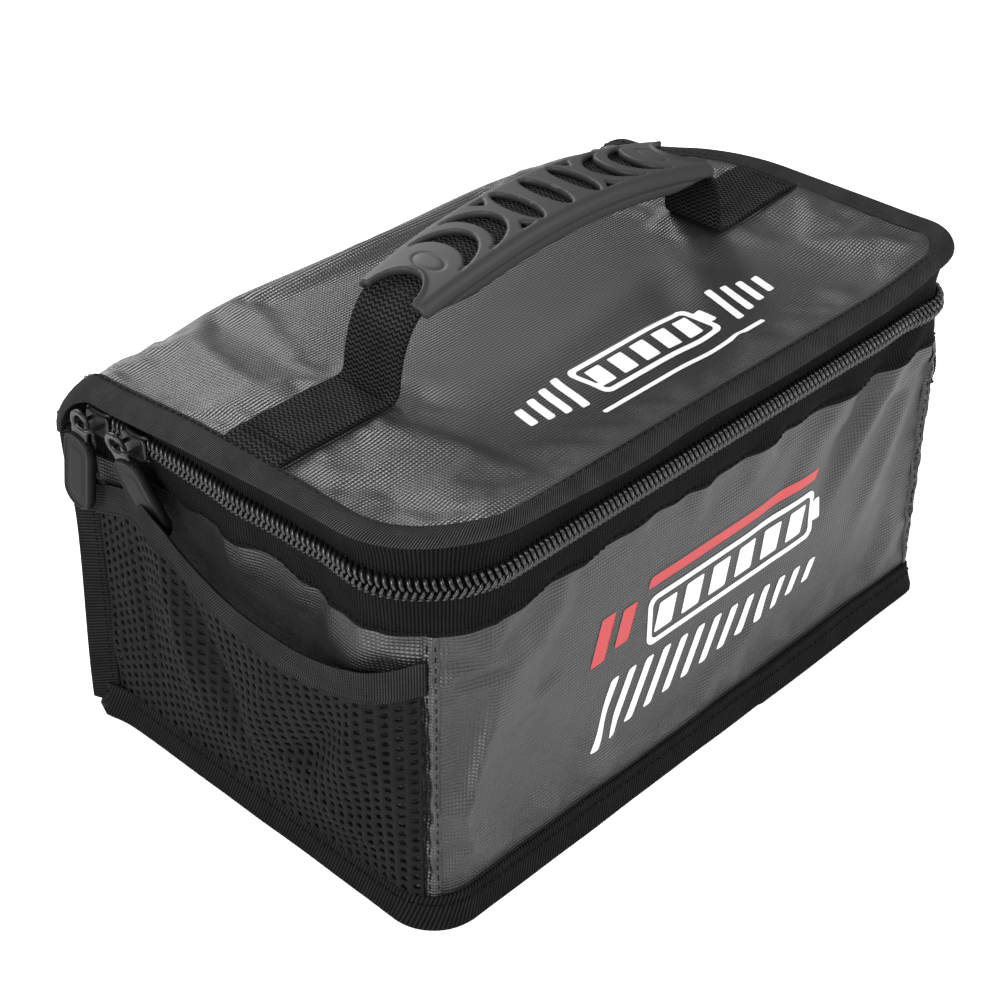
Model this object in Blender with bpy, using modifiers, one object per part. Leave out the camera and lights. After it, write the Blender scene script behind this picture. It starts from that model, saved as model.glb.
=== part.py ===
"""Battery safe bag: a padded box of coated cloth with a zipped lid, a carry handle and two mesh end pockets.

The frame is in metres, +Z up. The origin is on the floor under the middle of the bag. +X runs along the
bag towards its right end, and the front wall faces -Y. The lid is hinged along the top of the back wall,
and the zip runs round the left end, the front and the right end.
"""

import bmesh
import bpy
from math import cos, pi, radians, sin, tan
from mathutils import Matrix, Vector

GAP = 0.0003                      # clearance between pieces that touch

# Body
BODY_LENGTH = 0.254               # over the outer faces of the end walls
BODY_DEPTH = 0.162                # over the outer faces of the front and back walls
HINGE_HEIGHT = 0.141              # height of the lid's fold
LOWER_CORNER = 0.014              # front corner radius at the floor
UPPER_CORNER = 0.034              # front corner radius at the lid
ARC_STEPS = 6                     # straight pieces in each rounded front corner
WALL_LEVELS = 5                   # rows of points up a wall

# Cloth layers
CLOTH = 0.0008
PADDING = 0.0025
LINING = 0.0005
BASE_PADDING = 0.003
BINDING = 0.0016                  # folded binding tape with the seam inside it

# Bindings
BASE_BINDING_HEIGHT = 0.014
BASE_BINDING_FLARE = 0.0026       # how far the lower edge stands out past the upper edge
EDGE_BINDING_WIDTH = 0.0122
EDGE_BINDING_START = 0.0055       # from the back wall's face forward to the tape's front edge
LID_OVERHANG = 0.0058             # middle of the lid binding's outer edge past the walls
LID_BINDING_DROOP = 0.0026
LID_SEAM_INSET = 0.002            # edge of the lid cloth inside the walls' faces
SEAM_STRIP_WIDTH = 0.005
SEAM_STRIP = 0.001

# Zip
TAPE = 0.0006
TAPE_WIDTH = 0.0174
COIL_HEIGHT = 0.0026
COIL_DEPTH = 0.0022
COIL_PARTING = 0.0011             # space between the two rows
CHAIN_HEIGHT = 0.12875            # middle of the two rows
TAPE_COVER = 0.0058               # how far the walls' top edge lies under the middle of the zip
ZIP_END = 0.007                   # from the back wall's face to the ends of the zip

# Lid
LID_THICKNESS = 0.0044            # cloth, padding and lining with their gaps
LID_ROLL = 0.004                  # radius of the fold at the back
LID_PADDING_INSET = 0.006

# Sliders and pulls
SLIDER_LENGTH = 0.013
SLIDER_HEIGHT = 0.0094
SLIDER_PLATE = 0.0012
SLIDER_INNER_PLATE = 0.0008
SLIDER_BRIDGE_LENGTH = 0.003
SLIDER_BRIDGE = 0.0005
BAIL_RADIUS = 0.0006
BAIL_SPAN = 0.0065
BAIL_REACH = 0.006                # slider face to the middle of the bail's bar
PIVOT_STANDOFF = 0.009            # end wall's face to the middle of a pull
PIVOT_HEIGHT = 0.1295
EYE_RADIUS = 0.0047
EYE_HOLE = 0.0028
EYE_PLATE = 0.0014
PULL_WIDTH = 0.014
PULL_LENGTH = 0.0315
PULL_THICKNESS = 0.0036
PULL_START = 0.0075               # pivot to the top of the rubber
SLIDERS = {                       # bail's distance from the back wall's face, swing forward, lean in to the wall
    "a": (0.0125, radians(-10), 0.0),
    "b": (0.031, radians(20), radians(10)),
}

# End pockets
POCKET_BULGE = 0.013
POCKET_BACK_CLEARANCE = 0.0009    # between the pocket's back edge and the edge binding
POCKET_FLOOR = 0.0146
MOUTH_BACK = 0.100                # height of the mouth at its back end
MOUTH_RISE = 0.003                # front end above the back end
MOUTH_SAG = 0.006
ELASTIC_WIDTH = 0.0117
ELASTIC = 0.0012
MESH = 0.0008
POCKET_WALL_STEPS = 10
POCKET_CORNER_STEPS = 4

# Webbing and handle
WEB_WIDTH = 0.025
WEB = 0.0016
WEB_Y = -0.0033
GRIP_X = 0.0035                   # middle of the handle
GRIP_LENGTH = 0.140
GRIP_SKIN = 0.0022
GRIP_SIDE_CLEARANCE = 0.0003      # between the webbing and the grip's skirts
GRIP_SKIRT = 0.0064               # height of the side skirts, measured at the skin's middle
GRIP_ARCH = 0.010
GRIP_END_HEIGHT = 0.1764          # middle of the skin at the two ends
GRIP_STEPS = 16
RISER_INSET = 0.0035              # riser's middle past the grip's end
CUT_HALF_WIDTH = 0.0112
CRESCENT_OUTER = 0.0145
CRESCENT_INNER = 0.0065
CRESCENT_PITCH = 0.0136
CRESCENT_TIPS = 0.0505            # grip's middle to the tips of the outer crescents
OVAL_HALF_LENGTH = 0.0033
OVAL_PITCH = 0.0132
NOTCH_DEPTH = 0.0115
NOTCH_HALF_WIDTH = 0.0105

HALF_LENGTH = BODY_LENGTH / 2
HALF_DEPTH = BODY_DEPTH / 2
LOWER_COIL_TOP = CHAIN_HEIGHT - COIL_PARTING / 2
UPPER_COIL_BOTTOM = CHAIN_HEIGHT + COIL_PARTING / 2
WALL_TOP = CHAIN_HEIGHT - TAPE_COVER
WALL_BOTTOM = CLOTH + GAP
ZIP_END_Y = HALF_DEPTH - ZIP_END
POCKET_BACK_Y = HALF_DEPTH - EDGE_BINDING_START - POCKET_BACK_CLEARANCE
BACK_TOP = HINGE_HEIGHT - GAP
LID_TOP = HINGE_HEIGHT + 2 * GAP + LID_THICKNESS
TAPE_OFFSET = GAP + TAPE / 2
COIL_OFFSET = 2 * GAP + TAPE + COIL_DEPTH / 2
COIL_FACE = COIL_OFFSET + COIL_DEPTH / 2
WEB_TOP = LID_TOP + GAP + WEB
WEB_REACH = HALF_LENGTH - LID_SEAM_INSET
GRIP_WIDTH = WEB_WIDTH + 2 * (GRIP_SKIN + GRIP_SIDE_CLEARANCE)
RISER_FOOT = WEB_TOP + GAP + WEB / 2
GRIP_WEB_DROP = GRIP_SKIN / 2 + GAP + WEB / 2
RISER_X = GRIP_LENGTH / 2 + RISER_INSET


def clear_scene():
    for existing in list(bpy.data.objects):
        bpy.data.objects.remove(existing, do_unlink=True)


def collection(name):
    made = bpy.data.collections.new(name)
    bpy.context.scene.collection.children.link(made)
    return made


def material(name, colour, roughness, metallic=0.0):
    made = bpy.data.materials.new(name)
    made.use_nodes = True
    shader = made.node_tree.nodes["Principled BSDF"]
    shader.inputs["Base Color"].default_value = (*colour, 1.0)
    shader.inputs["Roughness"].default_value = roughness
    shader.inputs["Metallic"].default_value = metallic
    made.diffuse_color = (*colour, 1.0)
    return made


clear_scene()
PARTS = collection("battery_safe_bag")
CUTTERS = collection("cutters")
COATED_CLOTH = material("coated_cloth", (0.095, 0.097, 0.10), 0.45)
FELT = material("felt_padding", (0.30, 0.30, 0.29), 0.95)
FIBREGLASS = material("fibreglass_lining", (0.45, 0.45, 0.44), 0.6)
GROSGRAIN = material("binding_tape", (0.016, 0.016, 0.017), 0.85)
ZIP_TAPE = material("zip_tape", (0.012, 0.012, 0.012), 0.9)
NYLON = material("zip_coil", (0.02, 0.02, 0.02), 0.35)
NET = material("pocket_mesh", (0.012, 0.012, 0.012), 0.8)
ELASTIC_TAPE = material("pocket_elastic", (0.025, 0.025, 0.026), 0.85)
WEBBING = material("webbing", (0.010, 0.010, 0.010), 0.9)
GRIP_RUBBER = material("grip_rubber", (0.10, 0.10, 0.102), 0.55)
BLACK_METAL = material("slider_metal", (0.06, 0.06, 0.062), 0.35, 1.0)
PULL_RUBBER = material("pull_rubber", (0.012, 0.012, 0.013), 0.6)


def add(name, mesh, look, group=None):
    """Puts a mesh in the scene as one named piece."""
    mesh.materials.clear()
    mesh.materials.append(look)
    piece = bpy.data.objects.new(name, mesh)
    (group or PARTS).objects.link(piece)
    return piece


def mesh_from(name, shape):
    mesh = bpy.data.meshes.new(name)
    shape.normal_update()
    shape.to_mesh(mesh)
    shape.free()
    return mesh


def sheet(name, rows, thickness, look, closed=False):
    """Makes a cloth-like piece: rows of points are its middle surface, and Solidify gives its thickness."""
    shape = bmesh.new()
    grid = [[shape.verts.new(point) for point in row] for row in rows]
    for low, high in zip(grid, grid[1:]):
        pairs = list(zip(low, high))
        if closed:
            pairs.append(pairs[0])
        for (a, b), (d, c) in zip(pairs, pairs[1:]):
            shape.faces.new((a, d, c, b))
    piece = add(name, mesh_from(name, shape), look)
    solid = piece.modifiers.new("thickness", "SOLIDIFY")
    solid.thickness = thickness
    solid.offset = 0.0
    solid.use_even_offset = True
    return piece


def prism(name, outline, low, high, look, group=None):
    """Makes a plate with the given outline, from height low to height high."""
    shape = bmesh.new()
    face = shape.faces.new([shape.verts.new((x, y, low)) for x, y in outline])
    side = bmesh.ops.extrude_face_region(shape, geom=[face])
    moved = [v for v in side["geom"] if isinstance(v, bmesh.types.BMVert)]
    bmesh.ops.translate(shape, verts=moved, vec=(0, 0, high - low))
    bmesh.ops.recalc_face_normals(shape, faces=shape.faces)
    return add(name, mesh_from(name, shape), look, group)


def block(name, low, high, look, group=None):
    """Makes a box between two corners."""
    shape = bmesh.new()
    bmesh.ops.create_cube(shape, size=1.0)
    size = Vector(high) - Vector(low)
    middle = (Vector(high) + Vector(low)) / 2
    bmesh.ops.scale(shape, vec=size, verts=shape.verts)
    bmesh.ops.translate(shape, vec=middle, verts=shape.verts)
    return add(name, mesh_from(name, shape), look, group)


def combine(piece, other, operation):
    """Cuts or joins one piece with a hidden helper."""
    change = piece.modifiers.new(other.name, "BOOLEAN")
    change.operation = operation
    change.object = other
    other.hide_render = True
    other.display_type = "WIRE"


def corner_radius(z):
    return LOWER_CORNER + (UPPER_CORNER - LOWER_CORNER) * z / HINGE_HEIGHT


def corner_points(side, z, offset, start, end, steps):
    """Points round a front corner; the angle runs from 0 on the end wall to 90 degrees on the front wall."""
    radius = corner_radius(z)
    middle_x = HALF_LENGTH - radius
    middle_y = -HALF_DEPTH + radius
    points = []
    for step in range(steps + 1):
        angle = start + (end - start) * step / steps
        reach = radius + offset
        points.append(Vector((side * (middle_x + reach * cos(angle)), middle_y - reach * sin(angle), z)))
    return points


def seam_trim(z, offset, thickness):
    """Angle that a layer stops short of a corner seam, so that its square edge clears its neighbour's."""
    lean = thickness / 2 * tan(pi / 4 / ARC_STEPS)
    return (GAP / 2 + lean) / (corner_radius(z) + offset)


def end_row(side, z, offset, thickness, back_y):
    """Points along an end wall and half its front corner, from the back to the seam."""
    trim = seam_trim(z, offset, thickness)
    back = Vector((side * (HALF_LENGTH + offset), back_y, z))
    return [back] + corner_points(side, z, offset, 0.0, pi / 4 - trim, ARC_STEPS // 2)


def front_row(z, offset, thickness):
    """Points along the front wall between the two corner seams, left to right."""
    trim = seam_trim(z, offset, thickness)
    left = corner_points(-1, z, offset, pi / 4 + trim, pi / 2, ARC_STEPS // 2)
    right = corner_points(1, z, offset, pi / 4 + trim, pi / 2, ARC_STEPS // 2)
    return left + right[::-1]


def round_row(z, offset, back_y):
    """Points round the left end, the front and the right end."""
    left = corner_points(-1, z, offset, 0.0, pi / 2, ARC_STEPS)
    right = corner_points(1, z, offset, 0.0, pi / 2, ARC_STEPS)
    ends = [Vector((side * (HALF_LENGTH + offset), back_y, z)) for side in (-1, 1)]
    return [ends[0]] + left + right[::-1] + [ends[1]]


def levels(low, high, count=WALL_LEVELS):
    return [low + (high - low) * step / (count - 1) for step in range(count)]


def wall_layer(prefix, suffix, inset, thickness, look):
    """One layer of all four walls: two ends, the front and the back."""
    middle = -(inset + thickness / 2)
    end_back = HALF_DEPTH - inset - thickness - GAP
    heights = levels(WALL_BOTTOM, WALL_TOP)
    for side, end in ((-1, "left"), (1, "right")):
        rows = [end_row(side, z, middle, thickness, end_back) for z in heights]
        sheet(f"{end}{prefix}_{suffix}", rows, thickness, look)
    sheet(f"front_{suffix}", [front_row(z, middle, thickness) for z in heights], thickness, look)
    half = HALF_LENGTH - inset
    block(f"back_{suffix}", (-half, HALF_DEPTH - inset - thickness, WALL_BOTTOM),
          (half, HALF_DEPTH - inset, BACK_TOP), look)


def floor_plate(name, inset, low, high, look):
    """A horizontal plate with the plan of the bag's base, inset from the walls' faces."""
    row = round_row(low, -inset, HALF_DEPTH - inset)
    return prism(name, [(point.x, point.y) for point in row], low, high, look)


def make_walls():
    wall_layer("_end", "panel", 0.0, CLOTH, COATED_CLOTH)
    wall_layer("", "padding", CLOTH + GAP, PADDING, FELT)
    wall_layer("", "lining", CLOTH + PADDING + 2 * GAP, LINING, FIBREGLASS)


def make_base():
    inner = CLOTH + PADDING + LINING + 3 * GAP
    floor_plate("bottom_panel", 0.0, 0.0, CLOTH, COATED_CLOTH)
    floor_plate("base_padding", inner, WALL_BOTTOM, WALL_BOTTOM + BASE_PADDING, FELT)
    low = WALL_BOTTOM + BASE_PADDING + GAP
    floor_plate("base_lining", inner, low, low + LINING, FIBREGLASS)


def make_base_binding():
    """The tape round the foot of the bag, flared outwards towards the floor."""
    upper = GAP + BINDING / 2
    rows = []
    for z, offset in ((GAP, upper + BASE_BINDING_FLARE), (BASE_BINDING_HEIGHT, upper)):
        rows.append(round_row(z, offset, HALF_DEPTH + offset))
    sheet("bottom_binding", rows, BINDING, GROSGRAIN, closed=True)


def make_edge_bindings():
    """The tapes up the two back edges, which stand out past the back wall."""
    near_y = HALF_DEPTH - EDGE_BINDING_START
    start = GAP + BINDING / 2
    far_y = HALF_DEPTH + LID_OVERHANG
    out = (EDGE_BINDING_WIDTH ** 2 - (far_y - near_y) ** 2) ** 0.5
    low = BASE_BINDING_HEIGHT + 2 * GAP
    high = HINGE_HEIGHT - LID_THICKNESS - 4 * GAP
    for side, end in ((-1, "left"), (1, "right")):
        rows = []
        for z in (low, high):
            rows.append([Vector((side * (HALF_LENGTH + start), near_y, z)),
                         Vector((side * (HALF_LENGTH + start + out), far_y, z))])
        sheet(f"back_{end}_binding", rows, BINDING, GROSGRAIN)


def make_seam_strips():
    """The narrow stitched strips over the two front corner seams."""
    offset = GAP + SEAM_STRIP / 2
    low = BASE_BINDING_HEIGHT + 2 * GAP
    high = LOWER_COIL_TOP - TAPE_WIDTH - GAP
    for side, end in ((-1, "left"), (1, "right")):
        rows = []
        for z in levels(low, high, 3):
            half = SEAM_STRIP_WIDTH / 2 / corner_radius(z)
            rows.append(corner_points(side, z, offset, pi / 4 - half, pi / 4 + half, 2))
        sheet(f"front_{end}_seam_strip", rows, SEAM_STRIP, COATED_CLOTH)


def zip_band(name, low, high, offset, thickness, look):
    rows = [round_row(z, offset, ZIP_END_Y) for z in (low, high)]
    sheet(name, rows, thickness, look)


def make_zip():
    lower, upper = LOWER_COIL_TOP, UPPER_COIL_BOTTOM
    tape_top = LID_TOP - BINDING - LID_BINDING_DROOP / 2 - GAP
    zip_band("zip_tape_lower", lower - TAPE_WIDTH, lower, TAPE_OFFSET, TAPE, ZIP_TAPE)
    zip_band("zip_tape_upper", upper, tape_top, TAPE_OFFSET, TAPE, ZIP_TAPE)
    zip_band("zip_coil_lower", lower - COIL_HEIGHT, lower, COIL_OFFSET, COIL_DEPTH, NYLON)
    zip_band("zip_coil_upper", upper, upper + COIL_HEIGHT, COIL_OFFSET, COIL_DEPTH, NYLON)


def lid_column(edge):
    """Points from the lid's front edge to its rolled back edge, on the middle of the cloth."""
    top = LID_TOP - CLOTH / 2
    roll_y = HALF_DEPTH - CLOTH / 2 - LID_ROLL
    points = [Vector((edge.x, edge.y, top))]
    for step in range(5):
        angle = pi / 2 * step / 4
        across = roll_y + LID_ROLL * sin(angle)
        points.append(Vector((edge.x, across, top - LID_ROLL + LID_ROLL * cos(angle))))
    return points


def make_lid():
    edge = round_row(HINGE_HEIGHT, -LID_SEAM_INSET, 0.0)[1:-1]
    sheet("lid_panel", [lid_column(point) for point in edge], CLOTH, COATED_CLOTH)
    back_y = HALF_DEPTH - CLOTH - LID_ROLL
    inner = [(point.x, point.y) for point in round_row(HINGE_HEIGHT, -LID_PADDING_INSET, back_y)]
    high = LID_TOP - CLOTH - GAP
    prism("lid_padding", inner, high - PADDING, high, FELT)
    high = high - PADDING - GAP
    prism("lid_lining", inner, high - LINING, high, FIBREGLASS)
    inner_row = round_row(HINGE_HEIGHT, -LID_SEAM_INSET + BINDING / 2, HALF_DEPTH)
    outer_row = round_row(HINGE_HEIGHT, LID_OVERHANG, HALF_DEPTH)
    inner_top = LID_TOP - BINDING / 2
    for point in inner_row:
        point.z = inner_top
    for point in outer_row:
        point.z = inner_top - LID_BINDING_DROOP
    sheet("lid_binding", [inner_row, outer_row], BINDING, GROSGRAIN)


def pocket_ways(z):
    """Lengths of a pocket's straight stretch along the end wall and of its stretch round the front corner."""
    radius = corner_radius(z)
    return POCKET_BACK_Y + HALF_DEPTH - radius, radius * pi / 4 - SEAM_STRIP_WIDTH / 2 - 4 * GAP


def pocket_share(station, z):
    """How far along the pocket a station is: they run from 0 to 1 on the wall and to 2 round the corner."""
    straight, curved = pocket_ways(z)
    way = straight * min(station, 1.0) + curved * max(station - 1.0, 0.0)
    return way / (straight + curved)


def pocket_point(side, station, z, swell):
    """A point on an end pocket; swell is the share of the full bulge at its height."""
    straight, curved = pocket_ways(z)
    radius = corner_radius(z)
    bulge = POCKET_BULGE * swell * sin(pi * pocket_share(station, z))
    offset = 2 * GAP + ELASTIC / 2 + bulge
    if station <= 1.0:
        return Vector((side * (HALF_LENGTH + offset), POCKET_BACK_Y - straight * station, z))
    angle = curved * (station - 1.0) / radius
    reach = radius + offset
    out = HALF_LENGTH - radius + reach * cos(angle)
    return Vector((side * out, -HALF_DEPTH + radius - reach * sin(angle), z))


def mouth_height(station):
    share = pocket_share(station, MOUTH_BACK)
    return MOUTH_BACK + MOUTH_RISE * share - MOUTH_SAG * sin(pi * share)


def make_pocket(side, end):
    """A bulging mesh panel with a band of elastic along its mouth."""
    stations = [step / POCKET_WALL_STEPS for step in range(POCKET_WALL_STEPS)]
    stations += [1.0 + step / POCKET_CORNER_STEPS for step in range(POCKET_CORNER_STEPS + 1)]
    rows = []
    for level in levels(0.0, 1.0, 6):
        row = []
        for station in stations:
            top = mouth_height(station) - ELASTIC_WIDTH - GAP
            z = POCKET_FLOOR + (top - POCKET_FLOOR) * level
            row.append(pocket_point(side, station, z, level ** 0.8))
        rows.append(row)
    sheet(f"{end}_pocket_mesh", rows, MESH, NET)
    rows = []
    for drop in (ELASTIC_WIDTH, 0.0):
        rows.append([pocket_point(side, station, mouth_height(station) - drop, 1.0) for station in stations])
    sheet(f"{end}_pocket_elastic", rows, ELASTIC, ELASTIC_TAPE)


def grip_height(x):
    """Height of the middle of the grip's skin at a place along the bag."""
    share = (x - GRIP_X) / (GRIP_LENGTH / 2)
    return GRIP_END_HEIGHT + GRIP_ARCH * (1 - share * share)


def grip_stations(reach):
    return [GRIP_X - reach + 2 * reach * step / GRIP_STEPS for step in range(GRIP_STEPS + 1)]


def make_webbing():
    """The tape sewn along the lid, the two risers, and the tape through the grip."""
    low = LID_TOP + GAP
    half = WEB_WIDTH / 2
    rise = grip_height(GRIP_X + RISER_X) - GRIP_WEB_DROP - WEB / 2 - GAP - RISER_FOOT
    for side, end in ((-1, "left"), (1, "right")):
        near = GRIP_X + side * (RISER_X - WEB)
        ends = sorted((near, side * WEB_REACH))
        block(f"webbing_{end}", (ends[0], WEB_Y - half, low), (ends[1], WEB_Y + half, WEB_TOP), WEBBING)
        riser = block(f"handle_riser_{end}", (-WEB / 2, -half, 0.0), (WEB / 2, half, rise), WEBBING)
        riser.location = (GRIP_X + side * RISER_X, WEB_Y, RISER_FOOT)
    rows = []
    for x in grip_stations(RISER_X - WEB / 2 - GAP):
        z = grip_height(x) - GRIP_WEB_DROP
        rows.append([Vector((x, WEB_Y - half, z)), Vector((x, WEB_Y + half, z))])
    sheet("grip_webbing", rows, WEB, WEBBING)


def half_ellipse(x, reach, towards, start, end, steps=10):
    """Points on an ellipse as wide as the cut-outs, bulging along X from the tips at x."""
    points = []
    for step in range(steps + 1):
        angle = start + (end - start) * step / steps
        points.append((x + towards * reach * cos(angle), WEB_Y + CUT_HALF_WIDTH * sin(angle)))
    return points


def grip_cutters():
    """Outlines of the holes through the grip: crescents at each end and ovals in the middle."""
    outlines = {}
    for side, end in ((-1, "left"), (1, "right")):
        for number in range(2):
            tips = GRIP_X + side * (CRESCENT_TIPS - number * CRESCENT_PITCH)
            outer = half_ellipse(tips, CRESCENT_OUTER, -side, -pi / 2, pi / 2)
            inner = half_ellipse(tips, CRESCENT_INNER, -side, pi / 2, -pi / 2)
            outlines[f"crescent_{end}_{number}"] = outer + inner[1:-1]
        notch = []
        reach = NOTCH_DEPTH
        tip = GRIP_X + side * GRIP_LENGTH / 2
        for step in range(11):
            angle = -pi / 2 + pi * step / 10
            notch.append((tip - side * reach * cos(angle), WEB_Y + NOTCH_HALF_WIDTH * sin(angle)))
        outside = tip + side * 2 * WEB
        notch += [(outside, WEB_Y + NOTCH_HALF_WIDTH), (outside, WEB_Y - NOTCH_HALF_WIDTH)]
        outlines[f"notch_{end}"] = notch
    for number in (-1, 0, 1):
        x = GRIP_X + number * OVAL_PITCH
        outlines[f"oval_{number + 1}"] = half_ellipse(x, OVAL_HALF_LENGTH, 1, 0.0, 2 * pi, 20)[:-1]
    return outlines


def make_grip():
    """The moulded grip: an arched skin with a skirt down each side, open underneath."""
    half = (GRIP_WIDTH - GRIP_SKIN) / 2
    rows = []
    for x in grip_stations(GRIP_LENGTH / 2):
        z = grip_height(x)
        section = ((-half, -GRIP_SKIRT), (-half, 0.0), (half, 0.0), (half, -GRIP_SKIRT))
        rows.append([Vector((x, WEB_Y + y, z + rise)) for y, rise in section])
    grip = sheet("grip", rows, GRIP_SKIN, GRIP_RUBBER)
    low = GRIP_END_HEIGHT - GRIP_SKIN
    high = GRIP_END_HEIGHT + GRIP_ARCH + 2 * GRIP_SKIN
    for name, outline in grip_cutters().items():
        combine(grip, prism(name, outline, low, high, GRIP_RUBBER, CUTTERS), "DIFFERENCE")


def make_slider(name, bail_y):
    """A slider on the left end: a plate on each side of the zip, joined by a bridge between the two rows."""
    face = HALF_LENGTH + COIL_FACE + GAP
    middle = bail_y - BAIL_SPAN / 2
    low = CHAIN_HEIGHT - SLIDER_HEIGHT / 2
    high = CHAIN_HEIGHT + SLIDER_HEIGHT / 2
    near, far = middle - SLIDER_LENGTH / 2, middle + SLIDER_LENGTH / 2
    body = block(f"slider_{name}", (-face - SLIDER_PLATE, near, low), (-face, far, high), BLACK_METAL)
    inner = block(f"slider_{name}_inner", (-HALF_LENGTH, near, low),
                  (-HALF_LENGTH + SLIDER_INNER_PLATE, far, high), BLACK_METAL, CUTTERS)
    bridge = block(f"slider_{name}_bridge",
                   (-face - SLIDER_PLATE / 2, near + GAP, CHAIN_HEIGHT - SLIDER_BRIDGE / 2),
                   (-HALF_LENGTH + SLIDER_INNER_PLATE / 2, near + GAP + SLIDER_BRIDGE_LENGTH,
                    CHAIN_HEIGHT + SLIDER_BRIDGE / 2), BLACK_METAL, CUTTERS)
    combine(body, bridge, "UNION")
    combine(body, inner, "UNION")


def make_bail(name, bail_y):
    """The wire loop on a slider, through the pull's eye and over its front side."""
    start = HALF_LENGTH + COIL_FACE + SLIDER_PLATE + 2 * GAP
    reach = start + BAIL_REACH
    bend = 2 * BAIL_RADIUS
    route = [(start, 0.0)]
    for step in range(5):
        angle = pi / 2 * step / 4
        route.append((reach - bend + bend * sin(angle), bend - bend * cos(angle)))
    for step in range(5):
        angle = pi / 2 * step / 4
        route.append((reach - bend + bend * cos(angle), BAIL_SPAN - bend + bend * sin(angle)))
    route.append((start, BAIL_SPAN))
    curve = bpy.data.curves.new(f"slider_{name}_bail", "CURVE")
    curve.dimensions = "3D"
    curve.bevel_depth = BAIL_RADIUS
    curve.bevel_resolution = 2
    curve.use_fill_caps = True
    spline = curve.splines.new("POLY")
    spline.points.add(len(route) - 1)
    for point, (out, forward) in zip(spline.points, route):
        point.co = (-out, -forward, 0.0, 1.0)
    curve.materials.append(BLACK_METAL)
    bail = bpy.data.objects.new(f"slider_{name}_bail", curve)
    bail.location = (0.0, bail_y, PIVOT_HEIGHT)
    PARTS.objects.link(bail)


def pull_outline(width, start, end):
    """A long outline with round ends, hanging along -Y from the pivot."""
    radius = width / 2
    points = []
    for middle, turn in ((-end + radius, pi), (-start - radius, 0.0)):
        for step in range(9):
            angle = turn + pi * step / 8
            points.append((radius * cos(angle), middle + radius * sin(angle)))
    return points


def make_pull(name, bail_y, swing, lean):
    """A pull: a metal eye on the bail and a rubber body moulded below it."""
    pivot = bpy.data.objects.new(f"pull_{name}_pivot", None)
    pivot.location = (-HALF_LENGTH - PIVOT_STANDOFF, bail_y, PIVOT_HEIGHT)
    hang = Matrix.Rotation(pi / 2, 4, "Z") @ Matrix.Rotation(pi / 2, 4, "X")
    turn = Matrix.Rotation(-swing, 4, "X") @ Matrix.Rotation(-lean, 4, "Y")
    pivot.rotation_euler = (turn @ hang).to_euler()
    PARTS.objects.link(pivot)
    stem = EYE_RADIUS * 0.9
    plate = [(EYE_RADIUS * cos(pi * step / 10), EYE_RADIUS * sin(pi * step / 10)) for step in range(11)]
    foot = -PULL_START + GAP
    plate += [(-stem, foot), (stem, foot)]
    eye = prism(f"pull_{name}_eye", plate, -EYE_PLATE / 2, EYE_PLATE / 2, BLACK_METAL)
    hole = [(EYE_HOLE * cos(2 * pi * step / 16), EYE_HOLE * sin(2 * pi * step / 16)) for step in range(16)]
    cutter = prism(f"pull_{name}_hole", hole, -EYE_PLATE, EYE_PLATE, BLACK_METAL, CUTTERS)
    combine(eye, cutter, "DIFFERENCE")
    outline = pull_outline(PULL_WIDTH, PULL_START, PULL_START + PULL_LENGTH)
    body = prism(f"pull_{name}_rubber", outline, -PULL_THICKNESS / 2, PULL_THICKNESS / 2, PULL_RUBBER)
    edge = body.modifiers.new("edge", "BEVEL")
    edge.width = PULL_THICKNESS / 6
    edge.segments = 2
    edge.limit_method = "ANGLE"
    edge.angle_limit = radians(60)
    for piece in (eye, cutter, body):
        piece.parent = pivot


def make_sliders():
    for name, (from_back, swing, lean) in SLIDERS.items():
        bail_y = HALF_DEPTH - from_back
        make_slider(name, bail_y)
        make_bail(name, bail_y)
        make_pull(name, bail_y, swing, lean)


make_walls()
make_base()
make_base_binding()
make_edge_bindings()
make_seam_strips()
make_zip()
make_lid()
make_pocket(-1, "left")
make_pocket(1, "right")
make_webbing()
make_grip()
make_sliders()
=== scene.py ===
"""Looks of the battery safe bag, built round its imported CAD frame. Lengths in the code are millimetres."""

from math import cos, pi, radians, sin

import bpy
import numpy as np
from mathutils import Matrix, Vector


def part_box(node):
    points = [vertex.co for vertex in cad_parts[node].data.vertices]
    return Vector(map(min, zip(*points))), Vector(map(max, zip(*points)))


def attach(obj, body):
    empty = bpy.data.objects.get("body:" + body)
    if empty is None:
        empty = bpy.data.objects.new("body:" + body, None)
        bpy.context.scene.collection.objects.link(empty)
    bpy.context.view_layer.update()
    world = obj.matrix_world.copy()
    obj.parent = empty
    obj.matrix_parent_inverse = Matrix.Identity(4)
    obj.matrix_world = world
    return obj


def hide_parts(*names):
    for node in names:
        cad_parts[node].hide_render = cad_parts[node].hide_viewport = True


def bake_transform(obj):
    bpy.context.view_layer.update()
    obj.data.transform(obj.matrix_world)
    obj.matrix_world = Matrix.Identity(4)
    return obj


MM = 0.001
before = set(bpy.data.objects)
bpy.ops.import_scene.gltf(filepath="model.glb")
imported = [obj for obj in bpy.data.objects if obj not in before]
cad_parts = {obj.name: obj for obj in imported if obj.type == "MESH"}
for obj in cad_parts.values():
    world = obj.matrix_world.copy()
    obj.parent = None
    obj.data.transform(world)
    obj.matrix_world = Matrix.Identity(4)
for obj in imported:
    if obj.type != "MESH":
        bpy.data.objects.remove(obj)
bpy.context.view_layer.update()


def side(node, corner, axis):
    """One face of a CAD node's box, in millimetres."""
    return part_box(node)[corner][axis] / MM


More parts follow.
